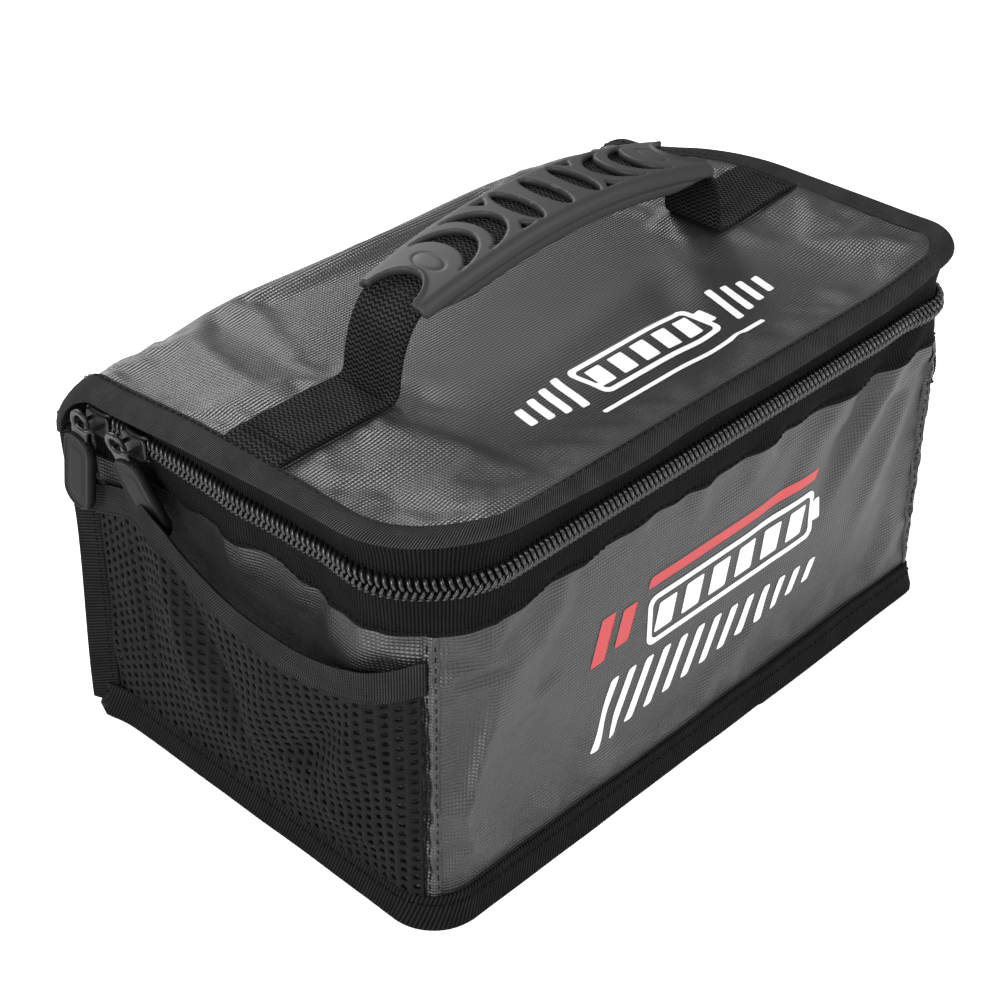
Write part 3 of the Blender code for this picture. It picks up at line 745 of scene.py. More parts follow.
def round_section(points, count):
    """A closed outline resampled smoothly: its points, and the length round it up to each and at its end."""
    p = np.asarray(points, float)
    n = len(p)
    t = np.linspace(0, n, count, endpoint=False)
    i, f = t.astype(int), (t - t.astype(int))[:, None]
    smooth = between(p[(i - 1) % n], p[i % n], p[(i + 1) % n], p[(i + 2) % n], f)
    around = np.linalg.norm(np.diff(np.vstack([smooth, smooth[:1]]), axis=0), axis=1)
    return smooth, np.concatenate([[0], np.cumsum(around)])


def sweep(name, rings, along, around, loop=False, flip=False):
    """A closed section carried along a path: rings is path x section x 3."""
    rows, cols = rings.shape[:2]
    faces = grid_faces(rows, cols, loop, True)
    r = faces[:, 0] // cols
    c = faces[:, 0] % cols
    along = np.append(along, along[-1] + (along[1] - along[0])) if loop else np.asarray(along)
    r2 = r + 1
    uv = np.stack([np.stack([along[r], around[c]], -1), np.stack([along[r], around[c + 1]], -1),
                   np.stack([along[r2], around[c + 1]], -1), np.stack([along[r2], around[c]], -1)], 1)
    if flip:
        faces, uv = faces[:, ::-1], uv[:, ::-1]
    uv = uv.reshape(-1, 2)
    every = [tuple(f) for f in faces]
    if not loop:
        first, last = list(range(cols)), list(range((rows - 1) * cols, rows * cols))
        every += [tuple(first[::-1] if not flip else first), tuple(last if not flip else last[::-1])]
        uv = np.concatenate([uv, np.zeros((2 * cols, 2))])
    made = new_object(name, rings.reshape(-1, 3), every)
    layer = made.data.uv_layers.new(name="UVMap")
    layer.data.foreach_set("uv", uv.astype(np.float32).ravel())
    return made


def lengths(points):
    return np.concatenate([[0], np.cumsum(np.linalg.norm(np.diff(points, axis=0), axis=1))])


def strap(name, centre, across, normal, width, thickness, flip=False):
    """Flat webbing with soft selvedges along a path of centre points."""
    h, t = width / 2, thickness / 2
    top = [(-h, 0), (-h + 0.3, t * 0.8), (-h + 1.2, t), (-h / 2, t), (0, t),
           (h / 2, t), (h - 1.2, t), (h - 0.3, t * 0.8)]
    section, around = round_section(top + [(-a, -b) for a, b in top], 48)
    rings = centre[:, None] + section[None, :, :1] * across[:, None] + section[None, :, 1:] * normal[:, None]
    return sweep(name, rings, lengths(centre), around - h, flip=flip)


def stitches(name, path, normal, body, slot, length=2.2, gap=0.9, radius=0.24, blend=None):
    """A row of small thread stitches along a path of points."""
    along = lengths(path)
    count = int(along[-1] // (length + gap))
    starts = np.arange(count) * (length + gap) + gap
    local = np.linspace(0, 1, 5)
    at = starts[:, None] + local[None] * length
    points = np.stack([np.interp(at, along, path[:, k]) for k in range(3)], -1)
    normals = np.stack([np.interp(at, along, normal[:, k]) for k in range(3)], -1)
    rise = np.array([-0.30, 0.11, 0.19, 0.11, -0.30])
    points = points + rise[None, :, None] * normals
    piece = tubes(name, points, radius, sides=5)
    return dress(piece, "thread", body, slot, blend=blend)


# ---------------------------------------------------------------- cloth of the walls, back, lid and floor


def wall_cloth(name, u0, u1, node):
    us, length = stations(u0, u1, 1.5)
    zs = np.linspace(1.1, 123.0, 90)
    U, Z = np.meshgrid(us, zs, indexing="ij")
    uv = arr(length[:, None] + 0 * Z, Z)
    piece = thicken(grid(name, wall(U, Z)[0], uv, flip=True), CLOTH)
    dress(piece, "cloth", "bag", "coated_cloth", node)
    return piece


def lid_cloth():
    xs = lid_columns(LID_EDGE)
    front = front_edge(xs, LID_EDGE)
    share = np.linspace(0, 1, 206)
    X, S = np.meshgrid(xs, share, indexing="ij")
    under = 3.4 * smoothstep(X, -112, -84) * (1 - smoothstep(X, 96, 116)) * (1 - S) ** 8
    W = front[:, None] + S * (BACK_END - front[:, None]) - under
    X = X * (1 + 0.010 * smoothstep(W, FOLD_START - 10, FOLD_START + 12))
    piece = thicken(grid("lid_and_back_cloth", lid(X, W)[0], arr(X, W), flip=True), CLOTH)
    dress(piece, "cloth", "bag", "coated_cloth", "lid_panel", "back_panel",
          blend=("lid", FOLD_LOW, FOLD_HIGH))
    return piece


def lid_z(x, y):
    """Height of the lid's outer face over a place in plan."""
    over = np.clip((y - FOLD_START) / FOLD_RADIUS, 0, 0.95)
    return lid(x, np.where(y < FOLD_START, y, FOLD_START + FOLD_RADIUS * np.arcsin(over)))[0][..., 2]


def level_cloth(name, z_of, edge, look, body, slot, nodes, up=True, floor=True,
                back_edge=None):
    """A flat layer following the bag's plan, edge millimetres inside it."""
    back_edge = back_edge or edge
    if floor:
        turn = np.radians(np.linspace(90, 0, 16))
        left = -(HALF_LENGTH - 14 + (14 - edge) * np.sin(turn))
        right = np.linspace(HALF_LENGTH - 14, HALF_LENGTH - edge, 8)
        xs = np.concatenate([left, np.linspace(left[-1], right[0], 90)[1:-1], right])
        reach = np.clip(-xs - (HALF_LENGTH - 14), 0, 14 - edge)
        front = -HALF_DEPTH + 14 - np.sqrt(np.maximum((14 - edge) ** 2 - reach ** 2, 0))
        front[xs > 0] = -HALF_DEPTH + edge
    else:
        xs = lid_columns(edge, 2.6)
        front = front_edge(xs, edge)
    S = np.linspace(0, 1, 70)[None]
    X = xs[:, None] + 0 * S
    Y = front[:, None] + S * (HALF_DEPTH - back_edge - front[:, None])
    rim = np.minimum(HALF_LENGTH - edge - np.abs(X), Y - front[:, None])
    rim = np.minimum(rim, HALF_DEPTH - back_edge - Y)
    piece = thicken(grid(name, arr(X + push(X, Y), Y, z_of(X, Y, rim)), arr(X, Y), flip=up), 0.5)
    dress(piece, look, body, slot, *nodes)
    return piece


def quilt(a, b, pitch=22.0, depth=1.0):
    """Cushioned diamonds between two crossing rows of quilting seams."""
    p, q = (a + b) / pitch, (a - b) / pitch
    return depth * (np.abs(np.sin(pi * p)) * np.abs(np.sin(pi * q))) ** 0.45


def wall_lining():
    us, length = stations(0, 8 - 1e-6, 2.2)
    zs = np.concatenate([np.linspace(4.6, 118, 62), np.linspace(119.5, 126.5, 6)])
    U, Z = np.meshgrid(us, zs, indexing="ij")
    top = smoothstep(Z, 119, 126)
    swell = quilt(length[:, None] + 0 * Z, Z) * (1 - top) * smoothstep(Z, 4, 9)
    corner = smoothstep(U, 5.0, 6.0) * (1 - smoothstep(U, 7.0, 8.0))
    deep = (4.6 - swell) * (1 - top) + 0.9 * top + 2.2 * corner
    place, _ = wall(U, Z, -deep)
    piece = thicken(grid("wall_lining", place, arr(length[:, None] + 0 * Z, Z)), 0.5)
    walls = ("front", "back", "left", "right")
    nodes = [wall_side + layer for layer in ("_lining", "_padding") for wall_side in walls]
    dress(piece, "lining", "bag", "fibreglass_lining", *nodes)
    return piece


def lid_lining_height(x, y, rim):
    """Underside of the lid: padding and quilting under the cloth, thin at the rim."""
    return lid_z(x, y) - 1.4 - 2.4 * smoothstep(rim, 0, 5) - quilt(x, y, depth=0.9) * smoothstep(rim, 2, 9)


wall_cloth("front_cloth", 1.5, 3.5, "front_panel")
wall_cloth("left_end_cloth", -1.0, 1.5, "left_end_panel")
wall_cloth("right_end_cloth", 3.5, 6.0, "right_end_panel")
lid_cloth()
level_cloth("base_cloth", lambda x, y, rim: 0.7 + 0.2 * noise(x, y, 3, 40), 0.6, "cloth", "bag",
            "coated_cloth", ["bottom_panel"], up=False)
level_cloth("base_lining", lambda x, y, rim: 4.2 + quilt(x, y, depth=0.7) * smoothstep(rim, 0, 6), 4.8,
            "lining", "bag", "fibreglass_lining", ["base_lining", "base_padding"])
level_cloth("lid_lining", lid_lining_height, 2.8, "lining", "lid", "fibreglass_lining",
            ["lid_lining", "lid_padding"], up=False, floor=False, back_edge=9.0)
wall_lining()


# ---------------------------------------------------------------- bindings and seam strips

LID_SECTION = [(-2.6, 146.3), (-1.6, 146.75), (0, 146.95), (2.5, 146.45), (4.6, 145.1), (5.75, 143.4),
               (5.95, 142.3), (5.3, 141.7), (4.4, 141.9), (2.0, 143.2), (-1, 144.6), (-2.4, 145.5)]


LIP = np.array([(0.0, -1.5), (0.155, -1.5), (0.30, -1.7), (0.50, -1.9), (0.69, 0.3), (0.865, 1.8),
                (1.0, 2.2), (1.5, 2.4), (1.95, 2.6), (2.05, 1.6), (2.14, 0.3), (2.22, -1.4),
                (2.37, 1.0), (2.56, -1.5), (2.75, -0.7), (2.90, -0.6), (3.2, 2.0), (3.6, 2.6),
                (4.1, 3.6), (4.5, 3.0), (4.8, 1.5), (5.0, -0.5)])


def lid_binding():
    """Binding round the lid's edge, from the roll at the back left to the one at the back right."""
    flat_end = (HALF_DEPTH - BACK_RADIUS - FOLD_START) / (2 * HALF_DEPTH - BACK_RADIUS - 34.0)
    us, length = stations(flat_end, 5 - flat_end, 1.6, 141.0)
    lip = np.interp(us, LIP[:, 0], LIP[:, 1])
    lip = np.convolve(np.pad(lip, 9, mode="edge"), np.ones(19) / 19, "valid")
    point, out = outline(us, 141.0)
    inner = np.clip(point[:, 0], -125.0, 125.0)
    point[:, 2] = LID_TOP - sink(inner, point[:, 1])
    up = arr(0 * us, 0 * us, 1 + 0 * us)
    roll = np.linspace(0, 1, 17)[1:]

    def over(end):
        w = FOLD_START + FOLD_LENGTH * 1.12 * roll
        spot, face = lid_path(end * 125.0 + 0 * w, w)
        spot = spot + face * CLOTH / 2
        spot[:, 0] = end * HALF_LENGTH
        return spot, arr(end + 0 * w, 0 * w, 0 * w), face

    first, last = over(-1), over(1)
    point = np.concatenate([first[0][::-1], point, last[0]])
    out = np.concatenate([first[1][::-1], out, last[1]])
    up = np.concatenate([first[2][::-1], up, last[2]])
    lip = np.concatenate([0 * roll + lip[0], lip, 0 * roll + lip[-1]])
    narrow = np.concatenate([0 * roll, smoothstep(us, 1.6, 2.1) * (1 - smoothstep(us, 2.9, 3.3)), 0 * roll])
    along = lengths(point)
    section, around = round_section(LID_SECTION, 34)
    reach = smoothstep(section[:, 0], -2.6, 5.9)[None]
    wrap = np.concatenate([roll[::-1], 0 * us, roll])[:, None]
    uneven = 0.25 * noise(along, 0 * along, 12, 30)[:, None]
    d = section[None, :, 0] + 2.4 * narrow[:, None] * (1 - reach) + uneven
    d = d + 4.4 * reach * smoothstep(wrap, 0, 0.9)
    uneven = 0.35 * noise(along, 0 * along, 11, 22)[:, None] * reach
    h = section[None, :, 1] - 146.0 + lip[:, None] * reach + uneven
    rings = point[:, None] + d[..., None] * out[:, None] + h[..., None] * up[:, None]
    rings[..., 1] += 4.2 * reach * smoothstep(wrap, 0.2, 1.0)
    rings[..., 2] -= 3.5 * reach * smoothstep(wrap, 0.4, 1.0)
    piece = sweep("lid_binding", rings, along, around)
    fold = ("bag", FOLD_HIGH, FOLD_LOW)
    dress(piece, "lid_tape", "lid", "binding_tape", "lid_binding", blend=fold)
    seam = point + (-0.7 + 2.2 * narrow)[:, None] * out + 0.93 * up
    stitches("lid_binding_stitches", seam, up, "lid", "binding_tape", 2.4, 0.9, 0.22, blend=fold)


BASE_SECTION = [(0.2, 10.2), (0.35, 11.2), (1.2, 11.6), (1.95, 11.1), (2.15, 9.4), (2.9, 6.4),
                (3.7, 3.4), (4.45, 1.1), (4.2, 0.3), (3.3, 0.1), (2.6, 1.0), (1.9, 3.3), (1.1, 6.4),
                (0.35, 8.8)]


def base_binding():
    us, length = stations(0, 8 - 1e-6, 1.8, 7.0)
    us, length = us[:-1], length[:-1]
    section, around = round_section(BASE_SECTION, 34)
    total = length[-1] + 1.8
    ring_angle = 2 * pi * length / total
    wave = 0.7 * np.sin(5 * ring_angle + 1) + 0.5 * np.sin(11 * ring_angle + 2)
    wave = wave + 0.35 * np.sin(23 * ring_angle)
    lap_start = np.interp(2.62, us, length)
    lap = smoothstep(length, lap_start, lap_start + 1.2)
    lap = lap * (1 - smoothstep(length, lap_start + 30, lap_start + 60))
    height = section[None, :, 1] * (1 + 0.055 * wave[:, None] * smoothstep(section[:, 1], 3, 12)[None])
    height = height * (1.08 - 0.12 * np.exp(-((us - 1.5) / 0.6) ** 2))[:, None]
    out = section[None, :, 0] + 0.55 * lap[:, None] * (section[:, 0] > 1.15)[None] + 0.15 * wave[:, None]
    U = us[:, None] + 0 * height
    for corner in (5.5, 7.5):
        away = np.abs(length - np.interp(corner, us, length))
        away = np.minimum(away, total - away)
        out = out + 2.4 * np.exp(-((away / 8.0) ** 2))[:, None]
    rings = wall(U, height, out)[0]
    rings[..., 2] = np.maximum(rings[..., 2], 0.05)
    piece = sweep("bottom_binding", rings, length, around, loop=True)
    dress(piece, "base_tape", "bag", "binding_tape", "bottom_binding")
    path = wall(us, 8.6 + 0.4 * wave, 2.6 + 0.55 * lap + 0.15 * wave)
    stitches("bottom_binding_stitches", path[0], path[1], "bag", "binding_tape", 2.3, 1.0, 0.24)


EDGE_REACH = ((8, 16, 25, 46, 63, 85, 97, 109, 125),
              (133.0, 133.0, 132.6, 131.4, 130.4, 129.8, 131.0, 132.2, 132.2))


def edge_binding(end):
    """Upright tape round the seam between an end wall and the back."""
    zs = np.linspace(4.5, 124.5, 84)
    h, t = 6.3, 0.8
    outside = [(-h, 0), (-h + 0.4, t), (-h / 2, t), (0, t), (h / 2, t), (h - 0.4, t * 0.9)]
    inside = [(h, 0), (h - 0.4, -t * 0.9), (h / 2, -t), (0, -t), (-h / 2, -t), (-h + 0.4, -t)]
    section, around = round_section(outside + inside, 32)
    sway = 0.3 * noise(zs, 0 * zs, 21 if end < 0 else 22, 30)
    reach = np.interp(zs, EDGE_REACH[0], EDGE_REACH[1])
    reach = np.convolve(np.pad(reach, 6, mode="edge"), np.ones(13) / 13, "valid") + sway
    run = arr(end * (reach - 128.2), 86.6 - 75.4, 0 * zs)
    width = np.linalg.norm(run, axis=1, keepdims=True)
    axis = run / width
    centre = arr(end * (reach + 128.2) / 2, 81.0, zs)
    out = arr(end * axis[:, 1], -end * axis[:, 0], 0 * zs)
    section = section * (0.93, 1.0)
    rings = centre[:, None] + section[None, :, :1] * axis[:, None] + section[None, :, 1:] * out[:, None]
    name = "back_left_binding" if end < 0 else "back_right_binding"
    piece = sweep(name, rings, zs, around, flip=end < 0)
    dress(piece, "base_tape", "bag", "binding_tape", name)
    stitches(name + "_stitches", centre - 3.2 * axis + 0.8 * out, out, "bag", "binding_tape", 2.3, 1.0, 0.24)


def seam_strip(middle, name):
    zs = np.linspace(9.0, 111.0, 104)
    ts = np.linspace(-1, 1, 15)
    radius = corner_radius(zs, middle - 2.5)
    T, Z = np.meshgrid(ts, zs, indexing="ij")
    width = 2.6 + 0.15 * noise(zs, 0 * zs, 31, 12)
    U = middle + T * (width / (radius * pi / 2))[None]
    off = 0.15 + 0.95 * np.clip(1 - np.abs(T) ** 5, 0, 1) - 0.28 * np.exp(-((np.abs(T) - 0.5) / 0.13) ** 2)
    point, normal = wall(U, Z, off)
    piece = grid(name, point, arr(T * 2.6, Z), flip=True)
    dress(piece, "cloth", "bag", "coated_cloth", name)
    for edge in (-1, 1):
        reach = middle + edge * 0.5 * width / (radius * pi / 2)
        path, out = wall(reach, zs, 0.75)
        label = name + ("_stitches_a" if edge < 0 else "_stitches_b")
        thread = 0.34 if edge * middle < -1 and middle < 2 else 0.22
        stitches(label, path, out, "bag", "coated_cloth", 2.6, 1.1, thread)


lid_binding()
base_binding()
edge_binding(-1)
edge_binding(1)
seam_strip(1.5, "front_left_seam_strip")
seam_strip(3.5, "front_right_seam_strip")

# ---------------------------------------------------------------- zip

ZIP_BACK = HALF_DEPTH - 7.0
ZIP_U = (HALF_DEPTH - BACK_RADIUS - ZIP_BACK) / (2 * HALF_DEPTH - BACK_RADIUS - 32.3)
CHAIN_PITCH = 2.2


def tape_edge(u):
    """Height of the lower zip tape's sewn edge along the bag."""
    sway = 0.0
    for at, wide, amount in TAPE_WAVES:
        sway = sway + amount * np.exp(-((u - at) / wide) ** 2)
    return 111.0 + sway


TAPE_WAVES = [(0.35, 0.10, -0.8), (0.69, 0.09, 1.8), (0.88, 0.09, -2.4), (1.15, 0.2, -0.6),
              (2.3, 0.12, 0.6), (2.75, 0.1, -0.5), (3.3, 0.2, 0.4)]


def chain(u):
    """Rise and fall of the chain's middle."""
    return -0.5 * np.exp(-((u - 1.2) / 0.4) ** 2) - 0.3 * np.exp(-((u - 3.6) / 0.5) ** 2)


def zip_tapes():
    us, length = stations(ZIP_U, 5 - ZIP_U, 1.6, 128.0)
    share = np.linspace(0, 1, 20)
    low = tape_edge(us)[:, None]
    top = 128.55 + chain(us)[:, None]
    Z = low + share[None] * (top - low)
    U = us[:, None] + 0 * Z
    off = 0.75 + 0.35 * np.exp(-((share - 0.09) / 0.05) ** 2)[None] + 0 * Z
    flat = arr(length[:, None] + 0 * Z, Z)
    piece = thicken(grid("zip_tape_lower", wall(U, Z, off)[0], flat, flip=True), 0.6)
    dress(piece, "zip_tape", "bag", "zip_tape", "zip_tape_lower")
    low = 128.85 + chain(us)[:, None]
    place = outline(us, 141.0)[0]
    turn = np.arcsin(np.clip((place[:, 1] - FOLD_START) / FOLD_RADIUS, 0, 0.9))
    top = LID_TOP - 1.8 - sink(np.clip(place[:, 0], -125, 125), place[:, 1])
    top = top - FOLD_RADIUS * (1 - np.cos(turn))
    Z = low + share[None] * (top[:, None] - low)
    off = 0.75 + 1.6 * smoothstep(Z, 134.5, 144.4)
    flat = arr(length[:, None] + 0 * Z, Z)
    piece = thicken(grid("zip_tape_upper", wall(U, Z, off)[0], flat, flip=True), 0.6)
    dress(piece, "zip_tape", "lid", "zip_tape", "zip_tape_upper")
    path, out = wall(us, tape_edge(us) + 1.7, 1.15)
    stitches("zip_tape_stitches", path, out, "bag", "zip_tape", 2.3, 0.9, 0.22)


def teeth(name, shape, shift, body, nodes, radius):
    """One row of a zip's coil, or its sewing: the same short wire at every pitch along the zip."""
    us, length = stations(ZIP_U + 0.004, 5 - ZIP_U - 0.004, 0.5, 128.75)
    count = int((length[-1] - 3) // CHAIN_PITCH)
    along = 1.0 + shift + np.arange(count) * CHAIN_PITCH
    shape = np.asarray(shape, float)
    at = along[:, None] + shape[None, :, 0]
    u = np.interp(at, length, us)
    z = CHAIN_Z + chain(u) + shape[None, :, 1]
    points = wall(u, z, 2.15 + shape[None, :, 2])[0]
    piece = tubes(name, points, radius, sides=6)
    return dress(piece, "coil", body, "zip_coil", *nodes)


# a tooth's points: along the zip, up, and out of the wall
TOOTH_UP = [(0.0, 3.15, -1.3), (0.0, 3.25, -0.3), (0.15, 2.75, 0.55), (0.5, 1.7, 0.95), (0.9, 0.6, 1.0),
            (1.1, -0.15, 0.6)]
TOOTH_DOWN = [(0.0, -2.75, -1.3), (0.0, -2.85, -0.3), (0.15, -2.35, 0.55), (0.5, -1.5, 0.95),
              (0.9, -0.55, 1.0),
              (1.1, 0.15, 0.6)]
SEWING = [(-0.7, -3.75, -0.4), (-0.35, -3.6, 0.15), (0.2, -3.15, 0.3), (0.7, -2.75, 0.0)]
TOOTH_RADIUS = [0.5, 0.68, 0.74, 0.70, 0.64, 0.56]
zip_tapes()
teeth("zip_coil_upper", TOOTH_UP, 0.0, "lid", ["zip_coil_upper"], TOOTH_RADIUS)
teeth("zip_coil_lower", TOOTH_DOWN, CHAIN_PITCH / 2, "bag", ["zip_coil_lower"], TOOTH_RADIUS)
teeth("zip_coil_sewing", SEWING, CHAIN_PITCH / 2, "bag", [], 0.45)

# ---------------------------------------------------------------- end pockets

POCKET_FLOOR = side("left_pocket_mesh", 0, 2)
POCKET_BACK = side("left_pocket_mesh", 1, 1)
POCKET_WIDTH = 145.0
MOUTH_POINTS = np.polyfit([0, 0.305, 0.552, 0.737, 0.9, 1.0], [99.0, 101.7, 96.3, 95.2, 98.4, 102.8], 4)


def mouth_height(share):
    lift = 6.0 * np.exp(-((share - 0.19) / 0.13) ** 2) + 1.6 * np.exp(-((share - 0.4) / 0.12) ** 2)
    return np.polyval(MOUTH_POINTS, share) + lift - 2.0 * np.exp(-((share - 0.82) / 0.12) ** 2)


def pocket(end, share, z, off=0.0):
    """Point on a pocket's net. share runs from its back edge to the corner seam."""
    share, z = np.broadcast_arrays(np.asarray(share, float), np.asarray(z, float))
    radius = corner_radius(z, end)
    straight = POCKET_BACK + HALF_DEPTH - radius
    curved = radius * pi / 4 - 3.0 if end < 0 else radius * pi / 4 - 2.9
    way = share * (straight + curved)
    back, fore = HALF_DEPTH - BACK_RADIUS, -HALF_DEPTH + radius
    bend = 1 + (way - straight) / (radius * pi / 2)
    u = np.where(way < straight, (back - POCKET_BACK + way) / (back - fore), bend)
    level = np.clip((z - POCKET_FLOOR) / (100.0 - POCKET_FLOOR), 0, 1.05)
    stand = 1.2 + 9.8 * level ** 0.8 * np.sin(pi * np.clip(share, 0, 1) ** 1.25)
    ease = smoothstep(share, 0, 0.12) * smoothstep(1 - share, 0, 0.10) * smoothstep(z, POCKET_FLOOR, 32)
    stand = stand + creases(share * POCKET_WIDTH, z, POCKET_FOLDS) * ease
    u = np.where(end < 0, u, 5 - u)
    point, normal = outline(u, z)
    cloth = ((wall(u, z)[0] - point) * normal).sum(-1)
    reach = np.minimum(np.maximum(stand, cloth + 1.3) + off, 15.6)
    return point + reach[..., None] * normal, normal


# Middle along the pocket, middle height, half width across and along the fold, its turn, how far it rises
POCKET_FOLDS = [
    (43.5, 62, 6, 34, 100, 3.0),
    (60.9, 58, 6, 32, 112, -4.6),
    (81.2, 52, 7, 30, 60, 2.6),
    (101.5, 48, 6, 26, 55, -4.2),
    (121.8, 60, 6, 26, 75, 2.4),
    (23.2, 60, 5, 34, 92, -2.0),
]


def net(end):
    """Knitted net: rows of staggered holes with a yarn border round each."""
    wide, tall = 3.95, 4.2
    columns = int(round(POCKET_WIDTH / wide))
    rows = 21
    hole = [(0.20, 0.50), (0.28, 0.28), (0.50, 0.22), (0.72, 0.28),
            (0.80, 0.50), (0.72, 0.72), (0.50, 0.78), (0.28, 0.72)]
    rim = [(0, 0.5), (0, 0), (0.5, 0), (1, 0), (1, 0.5), (1, 1), (0.5, 1), (0, 1)]
    seen, places, faces = {}, [], []

    def index(a, b):
        key = (round(a * 8), round(b * 200))
        if key not in seen:
            seen[key] = len(places)
            places.append((a, b))
        return seen[key]

    for c in range(columns):
        for r in range(rows):
            shift = 0.5 if c % 2 else 0.0
            outer = [index(c + a, r + b + shift) for a, b in rim]
            inner = []
            for a, b in hole:
                inner.append(len(places))
                places.append((c + a, r + b + shift))
            for k in range(8):
                j = (k + 1) % 8
                faces.append((outer[k], outer[j], inner[j], inner[k]))
    flat = np.array(places)
    share = flat[:, 0] / columns
    top = mouth_height(share) - 9.5
    z = POCKET_FLOOR - 5 + flat[:, 1] / (rows + 0.5) * (top - POCKET_FLOOR + 5)
    rib = 0.25 * np.cos(2 * pi * flat[:, 0])
    point, _ = pocket(end, share, z, rib)
    name = "left_pocket_mesh" if end < 0 else "right_pocket_mesh"
    order = faces if end < 0 else [f[::-1] for f in faces]
    piece = new_object(name, point, order, flat * (wide, tall))
    thicken(piece, 0.75, 0.0)
    dress(piece, "net", "bag", "pocket_mesh", name)
    return piece


def elastic(end):
    share = np.linspace(-0.002, 1.012, 120)
    top = mouth_height(np.clip(share, 0, 1))
    drop = np.linspace(0, 11.7, 60)
    ridge = 0.17 * np.cos(2 * pi * drop / 1.1) * smoothstep(drop, 0.3, 1.2)
    ridge = ridge * (1 - smoothstep(drop, 9.6, 10.2))
    piping = 0.75 * np.exp(-((drop - 11.0) / 0.55) ** 2)
    outer = 0.75 + ridge + piping
    front = np.stack([drop, outer], -1)
    back = np.stack([drop[::-4], -0.45 + 0 * drop[::-4]], -1)
    section = np.concatenate([front, back])
    around = lengths(np.vstack([section, section[:1]]))
    z = top[:, None] - section[None, :, 0]
    s = share[:, None] + 0 * z
    rings = pocket(end, s, z, 0.3 + section[None, :, 1])[0]
    name = "left_pocket_elastic" if end < 0 else "right_pocket_elastic"
    piece = sweep(name, rings, lengths(rings[:, 0]), around, flip=end > 0)
    dress(piece, "elastic", "bag", "pocket_elastic", name)


for end_side in (-1, 1):
    net(end_side)
    elastic(end_side)

# ---------------------------------------------------------------- webbing and handle

GRIP_MIDDLE = (GRIP_LOW_X + GRIP_HIGH_X) / 2
GRIP_HALF = 70.0


def grip_height(x):
    """Middle of the grip's skin at a place along it."""
    return 176.4 + 10 * (1 - ((x - GRIP_MIDDLE) / GRIP_HALF) ** 2)


def handle_path(end):
    """Webbing of one end in the upright plane along the bag, from the lid's edge to under the grip."""
    bend = [(-80.0, 147.25), (-78.0, 147.4), (-76.4, 148.2), (-75.4, 149.8), (-75.0, 152.0), (-74.6, 155.0),
            (-73.6, 160.0), (-71.8, 165.0), (-69.6, 169.2), (-67.2, 172.2), (-64.6, 174.0),
            (-61.5, grip_height(-61.5) - 2.2)]
    points = np.array(bend)
    if end > 0:
        points[:, 0] = 2 * GRIP_MIDDLE - points[:, 0]
        points[:, 0] += np.interp(points[:, 1], [147, 175], [-1.0, 0.0])
    return open_curve(points, 90)


def open_curve(points, count):
    """A smooth curve through points, as count points."""
    p = np.vstack([2 * points[0] - points[1], points, 2 * points[-1] - points[-2]])
    t = np.linspace(0, len(points) - 1 - 1e-9, count)
    i, f = t.astype(int), (t - t.astype(int))[:, None]
    return between(p[i], p[i + 1], p[i + 2], p[i + 3], f)


def strap_along(name, flat_path, end):
    """Strap across Y along points in the upright plane."""
    tangent = np.gradient(flat_path, axis=0)
    tangent /= np.linalg.norm(tangent, axis=1, keepdims=True)
    n = len(flat_path)
    centre = arr(flat_path[:, 0], WEB_Y + np.zeros(n), flat_path[:, 1])
    across = arr(np.zeros(n), np.ones(n), np.zeros(n))
    normal = arr(-tangent[:, 1], np.zeros(n), tangent[:, 0]) * (1 if end < 0 else -1)
    return strap(name, centre, across, normal, WEB_HIGH_Y - WEB_LOW_Y, 1.6, flip=end < 0)


def webbing(end):
    label = "left" if end < 0 else "right"
    start = -126.0 if end < 0 else 126.0
    path = handle_path(end)
    xs = np.linspace(start, path[0, 0], 40)
    top = lid(xs, WEB_Y + 0 * xs, 1.0)[0][:, 2]
    drop = smoothstep(np.abs(xs), 121, 126)
    flat = np.stack([xs, top - 0.9 * drop], -1)
    ease = smoothstep(np.abs(xs - path[0, 0]), 0, 12)
    flat[:, 1] = flat[:, 1] * ease + path[0, 1] * (1 - ease)
    low = path[path[:, 1] < 149.5]
    base = np.vstack([flat, low[1:6]])
    piece = strap_along("webbing_" + label, base, end)
    dress(piece, "webbing", "lid", "webbing", "webbing_" + label)
    lower = path[path[:, 1] < 161.0]
    upper = path[path[:, 1] > 160.4]
    piece = strap_along("riser_%s_lower" % label, lower, end)
    pivot = -0.0755 if end < 0 else 0.0825
    dress(piece, "webbing", "lid", "webbing", "handle_riser_" + label,
          blend=("riser_" + label, (pivot, WEB_Y * MM, 0.1485), (pivot, WEB_Y * MM, 0.157)))
    if end < 0:
        piece = strap_along("riser_left_upper", upper, end)
        fold = ("grip", (-0.072, WEB_Y * MM, 0.163), (-0.067, WEB_Y * MM, 0.1725))
        dress(piece, "webbing", "riser_left", "webbing", blend=fold)
    else:
        piece = strap_along("riser_right_middle", upper[upper[:, 1] < 170.2], end)
        dress(piece, "webbing", "riser_right", "webbing")
        piece = strap_along("riser_right_upper", upper[upper[:, 1] > 168.6] + (0.0, 0.05), end)
        dress(piece, "webbing", "grip", "webbing")
    across = np.linspace(WEB_LOW_Y + 1.6, WEB_HIGH_Y - 1.6, 30)
    for k, x in enumerate((end * 119.5, end * 116.5) if end < 0 else (end * 119.5,)):
        path_points = lid(x + 0 * across, across, 1.85)[0]
        up = arr(0 * across, 0 * across, 1 + 0 * across)
        stitches("webbing_%s_tack_%d" % (label, k), path_points, up, "lid", "webbing", 1.7, 0.6, 0.26)


